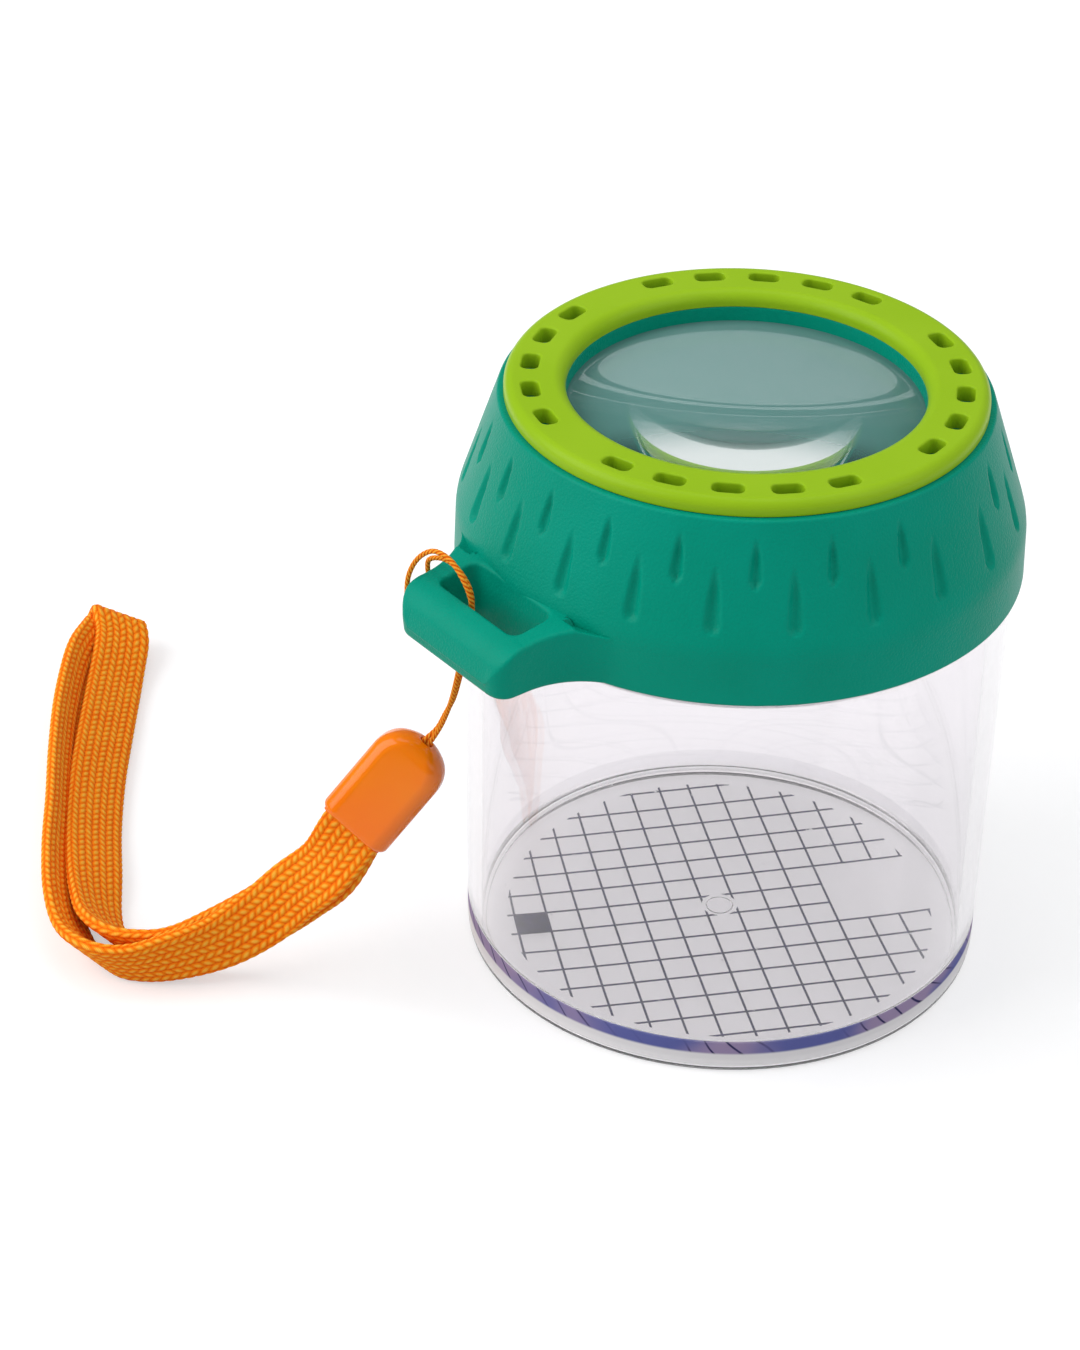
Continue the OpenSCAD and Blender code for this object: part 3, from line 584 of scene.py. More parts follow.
def makeJar():
    j = jar
    outer = rounded([
        (0, j["floorLow"] - j["markDrop"]), (j["markR"], j["floorLow"] - j["markDrop"], 0.2),
        (j["markR"], j["floorLow"], 0.15), (j["footR"] - j["band"], j["floorLow"], 0.5),
        (j["footR"] - j["band"], 0, 0.3), (j["footR"] - 0.02, 0, 0.8),
        (j["topR"], j["shoulder"], 0.6), (j["neckR"], j["shoulder"], 0.4),
        (j["neckR"], j["rim"], 0.5), (j["boreR"], j["rim"], 0.5),
        (j["boreFootR"], j["floorTop"], 1.2), (0, j["floorTop"])], 6)
    prof = refined(outer, 4.0)
    # neck rows close together, so that the thread's ridges show
    low, high = j["neckLow"], j["neckHigh"]
    neck = (prof[:, 0] > j["neckR"] - 0.01) & (prof[:, 1] > low - 0.1) & (prof[:, 1] < high)
    prof = swapRows(prof, neck, j["neckR"], np.arange(low, high, 0.2))

    def bend(r, z, a):
        # the neck's rows climb along with the ridges, and go back between their ends
        onNeck = (np.abs(r - j["neckR"]) < 0.01) & (z > low - 0.4) & (z < high + 0.1)
        part, sweep = 360 / thread["starts"], thread["neckSweep"]
        turn = np.mod(np.degrees(a) - thread["neckAngle"], part)
        climb = np.where(turn < sweep, turn, sweep * (part - turn) / (part - sweep))
        weight = np.clip((z - low) / 1.1, 0, 1) * np.clip((high - z) / 7.1, 0, 1)
        z = z + np.where(onNeck, climb * thread["lead"] / 360 * weight, 0)
        ridge = ridgeHeight(z, a, thread["neckStart"], thread["neckAngle"], sweep)
        return r + np.where(onNeck, ridge, 0), z
    pts, blocks = solidLathe(prof, j["columns"], bend)
    return meshFrom("jar_shell", pts, blocks)


printed = {"parting": 1.15, "low": 1.13, "high": 1.23}


def makeGrid():
    # a copy of the printed grid: corners over and under the parting height go to the ink's two
    # faces, the upper one let into the floor so that the ink touches the plastic
    src = nodes["floor_grid"].data
    co = np.array([v.co for v in src.vertices], np.float32) / mm
    co[:, 2] = np.where(co[:, 2] > printed["parting"], printed["high"], printed["low"])
    src.calc_loop_triangles()
    obj = meshFrom("grid_ink", co, [np.array([t.vertices for t in src.loop_triangles])])
    weldPoints(obj, 0.001)
    obj.data.polygons.foreach_set("use_smooth", np.zeros(len(obj.data.polygons), bool))
    return obj


lid = {
    "skirtBottom": 68.1, "skirtR": 42.57, "boreR": 41.05, "skirtTop": 76.7,
    "coneFootR": 42.33, "coneTopR": 36.4, "deckTop": 94.9, "deckThick": 2.5, "coneWall": 1.7,
    "boreBend": 75.6, "ledgeBoreR": 40.1, "ledgeR": 37.3, "rim": 79.0, "ledge": 1.6,
    "barrelR": 30.3, "barrelBottom": 86.2, "retainerPocketR": 29.1, "pocketR": 27.6,
    "lensLow": 89.6, "lensHigh": 92.6, "openingR": 26.4, "crease": 10.0, "coarse": 2, "fine": 14,
    "bandLow": 68.9, "bandHigh": 75.1, "deckInner": 30.35, "deckOuter": 34.9,
    "tuck": 34.6,           # radius where the cone's edge ends inside the deck's
}
grooves = {
    "count": 22, "depth": 0.8, "reach": 1.7,
    # long and short drops: start and end down the cone; gap is the drop left out at the eye
    "long": {"angle": -119.7, "start": 6.6, "end": 16.5, "width": 2.6, "gap": -1},
    "short": {"angle": -111.5, "start": 2.6, "end": 9.5, "width": 2.1, "gap": 2},
}


def scoop(q, s, start, end, width):
    # drop-shaped hollow: half width = r * along ** 0.45 up to a round end; the hollow is
    # (1 - x^2) ^ 1.25 across that width, so its rim runs out softly
    r = width / 2
    along = np.clip((s - start) / (end - r - start), 0, 1)
    half = np.where(s < end - r, r * along ** 0.45, np.sqrt(np.clip(r * r - (s - end + r) ** 2, 0, None)))
    half = np.where((s > start) & (s < end), half, 0)
    x = np.clip(np.abs(q) / np.maximum(half, 1e-6), 0, 1)
    return np.where(half > 0, (1 - x * x) ** 1.25, 0) * smoothStep(along, -0.1, 0.6)


def hollow(r, z, a):
    # depth of the drop-shaped hollows at points of the cone
    g, slope = grooves, math.hypot(lid["coneFootR"] - lid["coneTopR"], lid["deckTop"] - lid["skirtTop"])
    s = (lid["deckTop"] - z) / (lid["deckTop"] - lid["skirtTop"]) * slope
    deg, pitch = np.degrees(a), 360 / g["count"]
    deepest = 0
    for drop in (g["long"], g["short"]):
        k = np.round((deg - drop["angle"]) / pitch)
        q = np.radians(deg - drop["angle"] - k * pitch) * r
        one = scoop(q, s, drop["start"], drop["end"], drop["width"])
        deepest = np.maximum(deepest, np.where(np.mod(k, g["count"]) == drop["gap"], 0, one))
    return g["depth"] * deepest


def halvedRing(fine, coarse, n, flip):
    # triangles between a ring of n points and one of half as many
    k = np.arange(n // 2)
    f0, f1, f2 = fine + 2 * k, fine + 2 * k + 1, fine + (2 * k + 2) % n
    c0, c1 = coarse + k, coarse + (k + 1) % (n // 2)
    t = np.concatenate([np.stack([f0, f1, c0], 1), np.stack([f1, c1, c0], 1), np.stack([f1, f2, c1], 1)])
    return t[:, ::-1] if flip else t


def coneRadius(z):
    draft = (lid["coneFootR"] - lid["coneTopR"]) / (lid["deckTop"] - lid["skirtTop"])
    return lid["coneFootR"] - (z - lid["skirtTop"]) * draft


def collarAngles():
    # columns close together over the hollows and wide apart between them
    half = 180 / grooves["count"]
    reach = grooves["reach"] / lid["coneTopR"] * 180 / math.pi
    first = grooves["long"]["angle"]
    shift = (grooves["short"]["angle"] - first) % (2 * half)
    fine, coarse = lid["fine"], lid["coarse"]
    stops = [(-reach, reach, fine), (reach, shift - reach, coarse),
             (shift - reach, shift + reach, fine), (shift + reach, 2 * half - reach, coarse)]
    one = np.concatenate([np.linspace(a, b, n, endpoint=False) for a, b, n in stops])
    turns = np.arange(grooves["count"])[:, None] * 2 * half
    return np.radians(first + (turns + one).ravel())


def collarShell():
    # skirt and cone: outside with close columns for the hollows, inside with half as many
    l, top, crease = lid, lid["deckTop"], lid["skirtTop"]
    foot, bore = lid["skirtBottom"], lid["boreR"]
    outside = rounded([(l["tuck"], top - 0.02), (l["coneTopR"], top - 0.02, 0.5),
                       (l["coneFootR"], crease, l["crease"]), (l["skirtR"], foot, 0.5),
                       (bore + 0.3, foot)], 5)
    keep = refined(outside, 3.0)
    cone = (keep[:, 1] < top - 1.2) & (keep[:, 1] > crease + 1.8)
    z = np.arange(top - 1.3, crease + 1.9, -0.45)
    keep = swapRows(keep, cone, coneRadius(z), z)
    angles = collarAngles()
    n = len(angles)

    def bend(r, z, a):
        return r - np.where((z > crease + 0.5) & (z < top - 1), hollow(r, z, a), 0), z
    out = lathe(keep, angles, bend).reshape(-1, 3)
    bottomZ, ledgeTop = top - l["deckThick"], l["rim"] + l["ledge"]
    inside = rounded([(bore + 0.12, foot + 0.01), (bore, foot + 0.5, 0.2),
                      (bore, l["boreBend"], 1), (l["ledgeBoreR"], l["rim"], 0.2),
                      (l["ledgeR"], l["rim"], 0.2), (l["ledgeR"], ledgeTop, 0.2),
                      (coneRadius(ledgeTop) - l["coneWall"], ledgeTop, 0.4),
                      (coneRadius(bottomZ) - l["coneWall"], bottomZ + 0.02, 0.5),
                      (l["tuck"], bottomZ + 0.02)], 4)
    ins = refined(inside, 3.0)
    low, high = l["bandLow"], l["bandHigh"]
    band = (np.abs(ins[:, 0] - bore) < 0.01) & (ins[:, 1] > low - 0.1) & (ins[:, 1] < high + 0.1)
    ins = swapRows(ins, band, bore, np.arange(low, high, 0.35))
    startZ = thread["neckStart"] - thread["drop"] + thread["lead"] * thread["lidOffset"] / 360

    def threadBend(r, z, a):
        on = (np.abs(r - bore) < 0.02) & (z > low - 0.2) & (z < high + 0.2)
        startAngle = thread["neckAngle"] + thread["lidOffset"]
        return r - np.where(on, ridgeHeight(z, a, startZ, startAngle, thread["lidSweep"]), 0), z
    inn = lathe(ins, angles[::2], threadBend).reshape(-1, 3)
    a, b = len(keep), len(ins)
    base = a * n
    blocks = [gridQuads(a, n)[:, ::-1], gridQuads(b, n // 2)[:, ::-1] + base,
              halvedRing((a - 1) * n, base, n, True),
              halvedRing(0, base + (b - 1) * (n // 2), n, False)]
    return np.concatenate([out, inn]), blocks


slots = {
    "circle": 31.8, "length": 4.6, "width": 2.6, "corner": 1.0,
    "perSector": 16, "rows": 12,       # points along and across one sector's flat
    "half": 7.5,                       # half of a sector in degrees
}


def slotSector(inner, outer, z, tipRound, turnDeg, hole):
    # one 15 degree piece of a flat ring between two radii: the points of its rim in order,
    # and the sheet from the slot's edge out to that rim, given as top rows then bottom rows
    n, m = slots["perSector"], slots["rows"]
    half = math.radians(slots["half"])
    arc = np.linspace(-half, half, n + 1)
    rad = np.linspace(inner, outer, m + 1)
    edge = np.concatenate([
        np.stack([np.full(n, outer), arc[:-1]], 1), np.stack([rad[::-1][:-1], np.full(m, half)], 1),
        np.stack([np.full(n, inner), arc[::-1][:-1]], 1), np.stack([rad[:-1], np.full(m, -half)], 1)])
    rim = np.stack([edge[:, 0] * np.cos(edge[:, 1]), edge[:, 0] * np.sin(edge[:, 1])], 1)
    if hole:
        near, way = onSlot(rim - [slots["circle"], 0], (slots["width"] / 2, slots["length"] / 2),
                           slots["corner"])
        low, high = z
        # steps outward and heights up the slot's wall, then its rounded edge
        out = [(0.0, v) for v in (low, low + 0.2, *np.linspace(low + 0.4, high - tipRound, 4))]
        t = np.radians(np.linspace(15, 90, 6))
        out += [(tipRound * (1 - math.cos(v)), high - tipRound * (1 - math.sin(v))) for v in t]
        edgeRow = near + slots["corner"] * way + [slots["circle"], 0]
        lastRow = edgeRow + tipRound * way
        plan = [(rim + (edgeRow - rim) * v, low) for v in np.linspace(0, 1, 5)[:-1]]
        plan += [(edgeRow + d * way, h) for d, h in out]
        plan += [(lastRow + (rim - lastRow) * v, high) for v in np.linspace(0, 1, 6)[1:]]
        rows = [np.column_stack([p, np.full(len(rim), h)]) for p, h in plan]
        pts = np.concatenate(rows)
        blocks = [gridQuads(len(rows), len(rim))]
    else:
        rr, aa = np.meshgrid(rad, arc, indexing="ij")
        x, y = rr * np.cos(aa), rr * np.sin(aa)
        sheets = [np.stack([x, y, np.full_like(x, h)], -1).reshape(-1, 3) for h in z[::-1]]
        pts = np.concatenate(sheets)
        one = gridQuads(m + 1, n + 1, closeCols=False)
        blocks = [one, one[:, ::-1] + len(sheets[0])]
    c, s = math.cos(math.radians(turnDeg)), math.sin(math.radians(turnDeg))
    x, y, z = pts.T
    return np.column_stack([x * c - y * s, x * s + y * c, z]), blocks


def slottedRing(inner, outer, z, tipRound, innerLine, outerLine):
    # twenty-four sectors, a slot in all but every sixth, closed by two turned lines
    n = 24 * slots["perSector"]
    angles = math.radians(-slots["half"]) + np.arange(n) * 2 * math.pi / n
    parts = [slotSector(inner, outer, z, tipRound, 15.0 * k, k % 6 != 0) for k in range(24)]
    for line in (innerLine, outerLine):
        pts = lathe(refined(line, 2.0), angles).reshape(-1, 3)
        parts.append((pts, [gridQuads(len(pts) // n, n)]))
    return joinSets(parts)


eye = {
    "reach": 54.6, "foot": 54.2, "belly": 70.8, "half": 12.3, "corner": 3.0, "top": 76.0,
    "root": 77.0, "round": 5.2, "flare": 12.0, "near": 42.5, "draw": 1.0, "far": 49.3,
    "slotHalf": 9.0, "slotCorner": 1.5, "hidden": 41.3, "edge": 0.7, "columns": 300,
}


def eyeShape():
    # strap eye: a ring of sections between the slot's outline and the plan's outline, each going
    # up the slot wall, over the top, down the outer face and back along the underside
    reach, near, far, high, turn = (eye[k] for k in ("reach", "near", "far", "top", "round"))
    skirt, f, h = lid["skirtR"], eye["flare"], eye["half"]
    fx = math.sqrt((skirt + f) ** 2 - (h + f) ** 2)
    t = np.linspace(0, math.acos((h + f) / (skirt + f)), 60)
    flare = np.stack([fx - f * np.sin(t), (h + f) - f * np.cos(t)], 1)
    c = eye["corner"]
    tc = np.linspace(0, math.pi / 2, 30)
    corner = np.stack([reach - c + c * np.cos(tc), h - c + c * np.sin(tc)], 1)
    side = np.stack([np.linspace(reach - c, fx, 10), np.full(10, h)], 1)[1:-1]
    front = np.stack([np.full(30, reach), np.linspace(0, h - c, 30)], 1)[:-1]
    am = math.atan2(flare[-1, 1], flare[-1, 0])
    tb = np.linspace(am, 0, 50)
    back = eye["hidden"] * np.stack([np.cos(tb), np.sin(tb)], 1)
    upper = np.concatenate([front, corner, side, flare, back])
    loop = np.concatenate([upper, (upper * [1, -1])[::-1][1:-1]])
    mid = np.array([(near + far) / 2, 0])
    o = evenly(loop, eye["columns"])
    tangent = unit(np.roll(o, -1, 0) - np.roll(o, 1, 0))
    normal = np.stack([tangent[:, 1], -tangent[:, 0]], 1)
    # the slot's outline, hit by the same directions
    inside, sw = onSlot(o - mid, ((far - near) / 2, eye["slotHalf"]), eye["slotCorner"])
    i = mid + inside + eye["slotCorner"] * sw
    e = eye["edge"]

    def topAt(x):
        # height of the top: level to the cone, sloped to the slot, then a quarter round
        part = (x - lid["coneFootR"]) / (reach - turn - lid["coneFootR"])
        slope = eye["root"] + (high - eye["root"]) * part
        d = np.clip(x - (reach - turn), 0, turn)
        bow = high - turn + np.sqrt(np.clip(turn ** 2 - d * d, 0, None))
        return np.where(d > 0, bow, np.clip(slope, high, eye["root"]))

    def curve(a, b, c, n):
        t = np.linspace(0, 1, n)[:, None, None]
        return (1 - t) ** 2 * a + 2 * t * (1 - t) * b + t ** 2 * c
    low = lid["skirtBottom"]
    rise = lid["skirtTop"] - low

    def up(p, z):
        # points of the plan at a height; near the skirt they follow its draft and sink level
        # with the crease
        z = np.broadcast_to(z, len(p))
        out = np.linalg.norm(p, axis=1) - skirt
        by = 1 - smoothStep(out, -0.2, 2.4)
        draft = (skirt - lid["coneFootR"] + 0.03) * np.clip((z - low) / rise, 0, 1) * by
        level = np.where(p[:, 0] < near - 0.5, by * np.clip(z - lid["skirtTop"] + 0.8, 0, 1.3), 0)
        beside = np.abs(p[:, 1]) > h - 1
        return np.column_stack([p * (1 - draft / np.linalg.norm(p, axis=1))[:, None],
                                z - np.where(beside, level, 0)])
    iTop, oTop = i + e * sw, o - e * normal
    inner = np.clip((mid[0] - i[:, :1]) / (mid[0] - near), 0, 1) * [eye["draw"], 0]
    iHigh, oHigh = topAt(i[:, 0]), topAt(o[:, 0])
    rows = [up(i + inner, low + e), up(i + inner * 0.62, low + 3), up(i + inner * 0.2, iHigh - 2),
            up(i, iHigh - e)]
    rows += list(curve(rows[-1], up(i, iHigh), up(iTop, topAt(iTop[:, 0])), 6)[1:])
    for v in np.sin(np.linspace(0, math.pi / 2, 16))[1:]:
        p = iTop + (oTop - iTop) * v
        rows.append(up(p, topAt(p[:, 0])))
    rows += list(curve(rows[-1], up(o, oHigh), up(o, oHigh - e), 7)[1:])
    # the outer face draws in below its belly
    frontness = np.clip(normal[:, 0], 0, 1) ** 2
    drawn = o - normal * ((reach - eye["foot"]) * frontness)[:, None]
    start = oHigh - e
    for v in (0.08, 0.3, 0.5, 0.7, 0.92, 1.0):
        z = start + (low + e - start) * v
        k = np.clip((eye["belly"] - z) / (eye["belly"] - low), 0, 1)[:, None]
        rows.append(up(o + (drawn - o) * k, z))
    inDrawn = drawn - e * normal
    rows += list(curve(rows[-1], up(drawn, low), up(inDrawn, low), 6)[1:])
    rows += [up(inDrawn + (iTop - inDrawn) * v, low) for v in (0.25, 0.5, 0.75, 1.0)]
    rows += list(curve(rows[-1], up(i + inner, low), up(i + inner, low + e), 6)[1:-1])
    pts = np.array(rows).reshape(-1, 3) * [-1, 1, 1]
    return pts, [gridQuads(len(rows), len(o), closeRows=True)]


def makeCollar():
    l = lid
    bottomZ = l["deckTop"] - l["deckThick"]
    near, far = l["deckInner"], l["deckOuter"]
    inner = rounded([(near, bottomZ), (l["barrelR"], bottomZ - 0.1), (l["barrelR"], l["barrelBottom"], 0.3),
                     (l["retainerPocketR"], l["barrelBottom"], 0.2), (l["retainerPocketR"], l["lensLow"]),
                     (l["pocketR"], l["lensLow"]), (l["pocketR"], l["lensHigh"]),
                     (l["openingR"], l["lensHigh"]), (l["openingR"], l["deckTop"], 0.2),
                     (near, l["deckTop"])], 4)
    outer = np.array([(far, l["deckTop"]), (far, bottomZ)])
    deck = slottedRing(near, far, (bottomZ, l["deckTop"]), 0.08, inner, outer)
    deckObj = meshFrom("lid_deck", *deck, merge=0.002)
    shell = joinSets([collarShell(), eyeShape()])
    return meshFrom("lid_collar_shell", *shell, merge=0.0005), deckObj


ring = {"outerR": 35.5, "boreR": 26.4, "thick": 2.5, "outerRound": 1.5, "innerRound": 1.8,
        "flatInner": 28.35, "flatOuter": 33.9, "slotRound": 0.3}


def makeRing():
    low, high = lid["deckTop"], lid["deckTop"] + ring["thick"]
    near, far = ring["flatInner"], ring["flatOuter"]
    inner = rounded([(near, low), (ring["boreR"], low, 0.15), (ring["boreR"], high, ring["innerRound"]),
                     (near, high)], 12)
    outer = rounded([(far, high), (ring["outerR"], high, ring["outerRound"]), (ring["outerR"], low, 0.2),
                     (far, low)], 12)
    flat = slottedRing(near, far, (low, high), ring["slotRound"], inner, outer)
    return meshFrom("vent_ring_shell", *flat, merge=0.002)


lens = {"radius": 27.3, "faceR": 26.1, "low": 89.6, "high": 92.6, "curve": 102.0}


def makeLens():
    rise = lens["curve"] - math.sqrt(lens["curve"] ** 2 - lens["faceR"] ** 2)
    a = np.linspace(0, math.asin(lens["faceR"] / lens["curve"]), 40)
    low = np.stack([lens["curve"] * np.sin(a), lens["low"] - rise + lens["curve"] * (1 - np.cos(a))], 1)
    high = np.stack([low[::-1, 0], lens["low"] + lens["high"] - low[::-1, 1]], 1)
    rim = rounded([low[-1], (lens["radius"], lens["low"], 0.25), (lens["radius"], lens["high"], 0.25),
                   high[0]], 4)
    prof = np.concatenate([low[:-1], rim, high[1:]])
    return meshFrom("lens_disc", *solidLathe(prof, 240))


retainer = {"seam": 27.5, "boreR": 26.2, "lipZ": 88.0, "footR": 27.2, "low": 87.0, "outerR": 29.0}


def makeRetainer():
    r, top = retainer, lens["low"]
    prof = rounded([(r["seam"], top), (r["boreR"], top, 0.15), (r["boreR"], r["lipZ"], 0.2),
                    (r["footR"], r["low"], 0.3), (r["outerR"], r["low"], 0.3),
                    (r["outerR"], top, 0.15), (r["seam"], top)], 4)[:-1]
    pts, blocks = solidLathe(refined(prof, 1.5), 240)
    return meshFrom("retainer_ring", pts, [b[:, ::-1] for b in blocks], merge=0.0005)


def mouldedFinish(name, s):
    # moulded plastic: fine pebbled grain, slow colour drift, slightly uneven gloss
    mat, w, where = newFinish(name)
    drift = w.noise(where, s["drift"], 3.0, 0.5)
    pebble = w.node("TexVoronoi", {"feature": "SMOOTH_F1"},
                    {"Vector": where, "Scale": s["grainScale"], "Smoothness": 0.6}, "Distance")
    fine = w.noise(where, s["grainScale"] * 2.3, 2.0, 0.6)
    height = pebble * -1.0 + fine * 0.5
    bump = w.node("Bump", {}, {"Strength": s["grain"], "Distance": 0.00006, "Height": height})
    colour = drift.clamp(0.3, 0.7).blend(rgba(s["colour"]), rgba(s["colour2"]))
    rough = s["rough"] + (fine - 0.5) * s["uneven"] + (drift - 0.5) * s["uneven"]
    shader = w.node("BsdfPrincipled", {}, {
        "Base Color": colour, "Roughness": rough, "Normal": bump,
        "Specular IOR Level": s["specular"], "Subsurface Weight": s.get("soft", 0.0),
        "Subsurface Scale": 0.001})
    outTo(shader)
    return mat


tealLook = {"colour": (0, 144, 120), "colour2": (0, 149, 126), "drift": 60, "grainScale": 2600,
            "grain": 0.85, "rough": 0.36, "uneven": 0.08, "specular": 0.07}
limeLook = {"colour": (146, 187, 24), "colour2": (151, 191, 30), "drift": 50, "grainScale": 3600,
            "grain": 0.18, "rough": 0.32, "uneven": 0.06, "specular": 0.12}
capLook = {"colour": (255, 122, 0), "colour2": (255, 130, 2), "drift": 90, "grainScale": 3000,
           "grain": 0.04, "rough": 0.1, "uneven": 0.05, "specular": 0.36, "soft": 0.1}


def clearFinish(name, s):
    # clear moulding: light passes with a faint tint, with soft flow marks and a few dust specks
    mat, w, where = newFinish(name)
    flowMarks = w.noise(where, s["flowScale"], 2.0, 0.4)
    dust = w.noise(where, 900, 2.0, 0.6).clamp(0.72, 0.8)
    bump = w.node("Bump", {}, {"Strength": s["flow"], "Distance": 0.0004, "Height": flowMarks})
    rough = s["rough"] + dust * 0.25
    shader = w.node("BsdfPrincipled", {}, {
        "Base Color": rgba(s["tint"]), "Roughness": rough, "IOR": s["ior"],
        "Transmission Weight": 1.0, "Normal": bump})
    if "reflectionAmount" in s:
        # painted reflection: a grey-teal diffuse sheet stands in for the lid's inside and the surroundings
        # lying over the lens, more at flat angles
        paintedReflection = w.node("BsdfDiffuse", {}, {"Color": rgba(s["paintedReflection"])})
        flat = w.node("LayerWeight", {}, {"Blend": 0.5}, "Facing")
        inner = w.node("NewGeometry", {}, {}, "Backfacing")
        amount = flat.clamp(s["reflectionFrom"], s["reflectionTo"], s["reflectionAmount"], s["reflectionAmountFlat"])
        amount = (amount + dust * 0.05) * (1 - inner)
        shader = w.node("MixShader", {}, {0: amount, 1: shader, 2: paintedReflection})
    if "edgeLow" in s:
        shader = paintedEdgeLight(w, where, shader, s)
    outTo(shader)
    return mat


def paintedEdgeLight(w, where, shader, s):
    # painted light: a diffuse band on the outer wall stands in for light piped along the floor that comes
    # out of its edge in blue and violet, crossed by painted reflections of the ends of the printed lines,
    # with a pale painted foot below; from inside it shows only faintly
    x = w.node("SeparateXYZ", {}, {0: where}, "X")
    y, z = x.beside("Y"), x.beside("Z")
    radius = w.calc("SQRT", x * x + y * y)
    turn = w.calc("ARCTAN2", y, x) * (s["edgeTicks"] / (2 * math.pi))
    drift = w.noise(where, 45)
    tick = w.calc("ABSOLUTE", w.calc("FRACT", turn + z * 220.0 + drift * 2.5) - 0.5).clamp(0.08, 0.03)
    colour = drift.clamp(0.38, 0.56).blend(rgba(s["edgeDeep"]), rgba(s["edgePale"]))
    # painted reflection: dark ticks for the ends of the printed lines
    colour = (tick * drift.clamp(0.35, 0.55)).blend(colour, rgba(s["edgeLineReflection"]))
    # painted light: a pale foot below the band's middle
    colour = z.clamp(s["edgeMid"] - 0.0003, s["edgeMid"] + 0.0002).blend(rgba(s["edgeFoot"]), colour)
    soft = 0.00025
    band = z.clamp(s["edgeLow"], s["edgeLow"] + soft) * z.clamp(s["edgeHigh"], s["edgeHigh"] - soft)
    outside = radius.clamp(s["edgeR"] - soft, s["edgeR"])
    behind = w.node("NewGeometry", {}, {}, "Backfacing")
    edge = w.node("BsdfDiffuse", {}, {"Color": colour})
    amount = band * outside * (0.9 - behind * 0.82)
    return w.node("MixShader", {}, {0: amount, 1: shader, 2: edge})


def inkFinish():
    # printed ink: dark slate, thin places and small breaks in the print
    mat, w, where = newFinish("printed_ink")
    blot = w.noise(where, 900, 3.0, 0.6)
    wide = w.noise(where, 90)
    colour = blot.clamp(0.35, 0.65).blend(rgba((30, 26, 78)), rgba((56, 50, 110)))
    solid = 1 - (blot + wide * 0.35).clamp(0.86, 0.94) * 0.6
    shader = w.node("BsdfPrincipled", {}, {"Base Color": colour, "Roughness": 0.55 + blot * 0.2,
                                           "Specular IOR Level": 0.1, "Alpha": solid})
    outTo(shader)
    return mat


def weaveFinish(name, s, cord):
    # yarn: stitch pattern worked out from the piece's own pattern coordinates, with painted shade in the
    # gaps and a painted highlight on the stitch tops, and fine fibres along each stitch
    mat, w, where = newFinish(name)
    uv = w.node("UVMap", {"uv_map": "weave"}, {})
    u = w.node("SeparateXYZ", {}, {0: uv}, "X")
    v = u.beside("Y")
    if cord:
        h = w.calc("ABSOLUTE", w.calc("COSINE", (u + v) * math.pi))
        lean = u - v * 2.0
        top = h ** 0.7
    else:
        col = w.calc("FLOOR", u + 0.0001)
        odd = w.calc("MODULO", col, 2.0)
        a = u - col - 0.5
        b = v + (1 - odd * 2.0) * a * s["slant"] + odd * 0.5
        alongPart = w.calc("ABSOLUTE", w.calc("COSINE", b * math.pi)) ** 0.55
        acrossPart = w.calc("SQRT", w.calc("MAXIMUM", 1 - (a * 1.9) * (a * 1.9), 0.04))
        top = acrossPart * (0.25 + alongPart * 0.75)
        lean = a - b * 1.3 * (1 - odd * 2.0)
    thread = w.calc("SINE", lean * 38.0) * 0.5 + 0.5
    fuzz = w.noise(where, 5200, 2.0, 0.6)
    tone = w.noise(where, 300)
    body = (tone * 0.7 + thread * 0.3).clamp(0.3, 0.75).blend(rgba(s["mid"]), rgba(s["light"]))
    # painted highlight: the crest colour on the tops of the stitches
    body = ((top - 0.7) * (1.1 + thread * 2.0)).clamp(0.0, 0.75).blend(body, rgba(s["crest"]))
    # painted shade: the dark colour down in the gaps
    colour = top.clamp(0.1, 0.62).blend(rgba(s["dark"]), body)
    height = top * 1.0 + thread * 0.12 + fuzz * 0.18
    bump = w.node("Bump", {}, {"Strength": 0.75, "Distance": 0.00018, "Height": height})
    shader = w.node("BsdfPrincipled", {}, {
        "Base Color": colour, "Roughness": 0.62 + fuzz * 0.15, "Normal": bump,
        "Specular IOR Level": 0.06, "Sheen Weight": 0.04, "Sheen Roughness": 0.4,
        "Sheen Tint": rgba((255, 180, 100))})
    outTo(shader)
    return mat


teal = mouldedFinish("teal_moulding", tealLook)
lime = mouldedFinish("lime_moulding", limeLook)
orange = mouldedFinish("orange_gloss", capLook)
# the jar carries a painted band of piped light along the floor's outer edge
clearJar = clearFinish("clear_jar", {
    "tint": (246, 244, 246), "flowScale": 25, "flow": 0.02, "rough": 0.015, "ior": 1.5,
    "edgeLow": 0.0012, "edgeMid": 0.0036, "edgeHigh": 0.0061, "edgeR": 0.0396, "edgeTicks": 62,
    "edgeDeep": (100, 106, 172), "edgePale": (164, 146, 182), "edgeLineReflection": (48, 46, 92),
    "edgeFoot": (240, 238, 240)})
# the lens carries a painted reflection of the lid's inside and the surroundings
clearLens = clearFinish("clear_lens", {
    "tint": (244, 249, 248), "flowScale": 20, "flow": 0.0, "rough": 0.0, "ior": 1.49,
    "reflectionAmount": 0.16, "reflectionAmountFlat": 0.84, "reflectionFrom": 0.35, "reflectionTo": 0.44, "paintedReflection": (92, 138, 134)})
ink = inkFinish()
braidLook = weaveFinish("braid_yarn", braid, False)
cordLook = weaveFinish("cord_yarn", yarn, True)

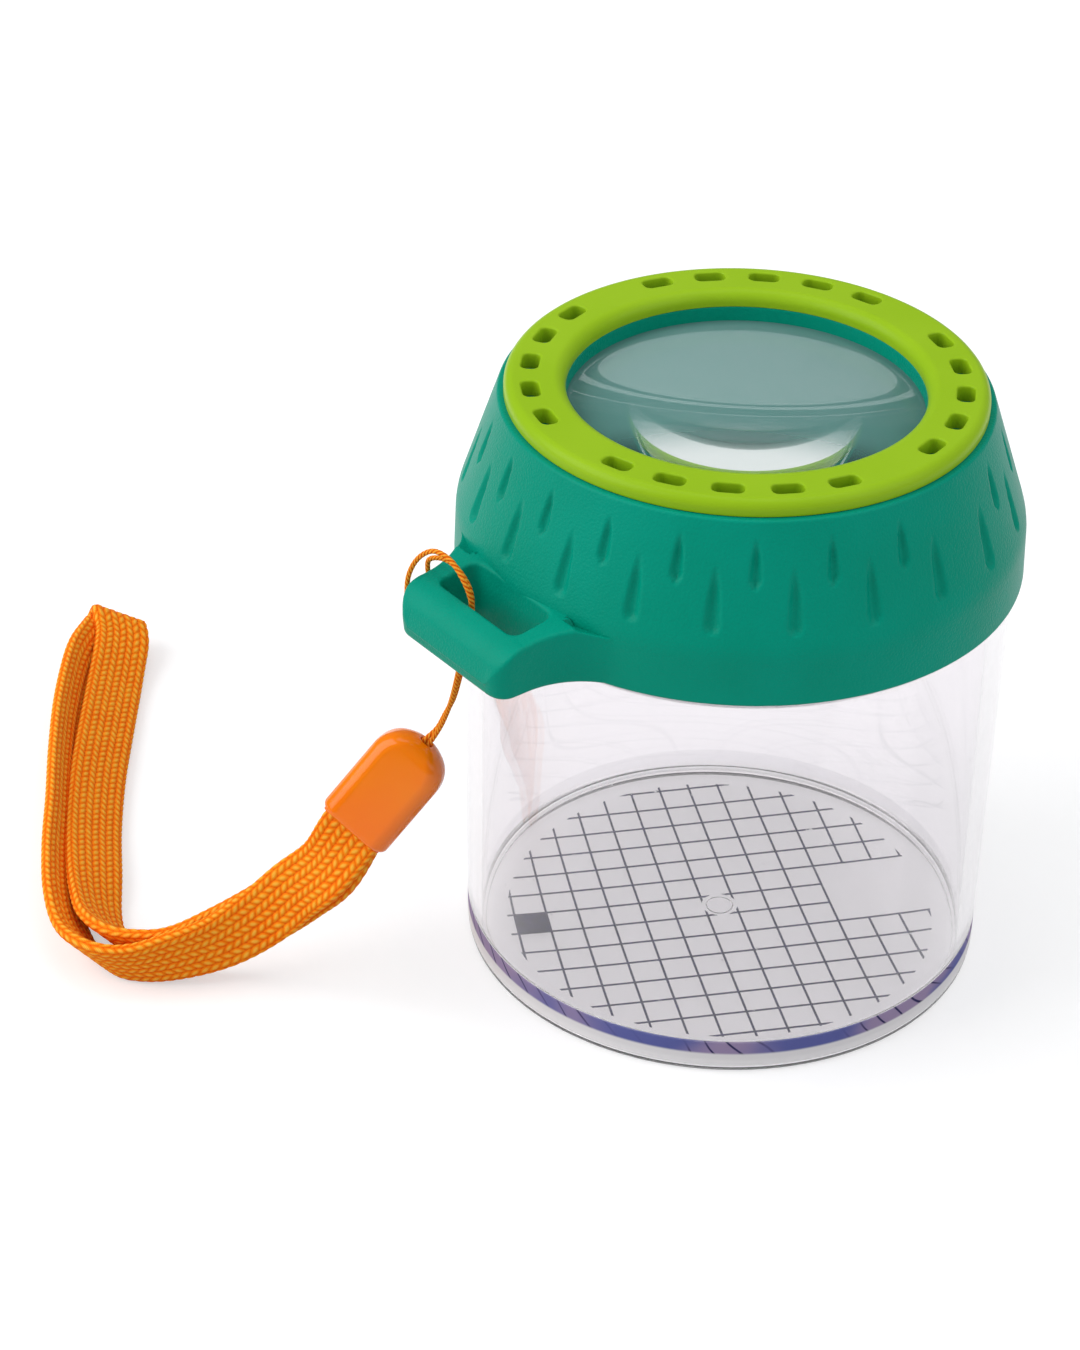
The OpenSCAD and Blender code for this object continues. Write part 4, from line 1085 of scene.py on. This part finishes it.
dress(strapObj, braidLook, "lid", "wrist_strap")
dress(cordObj, cordLook, "lid", "cord_loop")
dress(capObj, orange, "lid", "strap_cap")
dress(makeJar(), clearJar, "jar", "jar_body")
dress(makeGrid(), ink, "jar", "floor_grid")
print("jar made")
for obj in makeCollar():
    dress(obj, teal, "lid", "lid_collar")
dress(makeRing(), lime, "lid", "vent_ring")
dress(makeLens(), clearLens, "lens", "magnifier_lens")
dress(makeRetainer(), teal, "lid", "lens_retainer")
print("lid made")


white = (1, 1, 1, 1)
table = {"half": 4000, "colour": (202, 202, 204), "colour2": (206, 206, 208), "glow": 0.5}
air = {"lit": 0.5, "seen": 0.5, "gloss": 0.3}      # strengths: as light, more where seen, less in gloss


def makeStage():
    square = np.array([[-1, -1, 0], [1, -1, 0], [1, 1, 0], [-1, 1, 0]])
    obj = meshFrom("table_top", square * table["half"], [np.array([[0, 1, 2, 3]])])
    mat, w, where = newFinish("pale_table")
    path = w.node("LightPath", {}, {}, "Is Camera Ray")
    seen = w.calc("MAXIMUM", path, w.calc("MAXIMUM", path.beside("Is Glossy Ray"),
                                          path.beside("Is Transmission Ray")))
    grain = w.noise(where, 400)
    base = grain.blend(rgba(table["colour"]), rgba(table["colour2"]))
    shader = w.node("BsdfPrincipled", {}, {"Base Color": base, "Roughness": 0.9,
                                           "Specular IOR Level": 0.0})
    glow = w.node("Emission", {}, {"Color": white, "Strength": seen * table["glow"]})
    outTo(w.node("AddShader", {}, {0: shader, 1: glow}))
    obj.data.materials.append(mat)
    world = bpy.data.worlds.new("surroundings")
    bpy.context.scene.world = world
    w = cleared(world)
    path = w.node("LightPath", {}, {}, "Is Camera Ray")
    seen = w.calc("MAXIMUM", path, path.beside("Is Transmission Ray"))
    strength = air["lit"] + seen * air["seen"] - (1 - seen) * path.beside("Is Glossy Ray") * air["gloss"]
    outTo(w.node("Background", {}, {"Color": white, "Strength": strength}), "World")


makeStage()
bpy.context.scene.view_settings.view_transform = "Standard"
print("surroundings set")
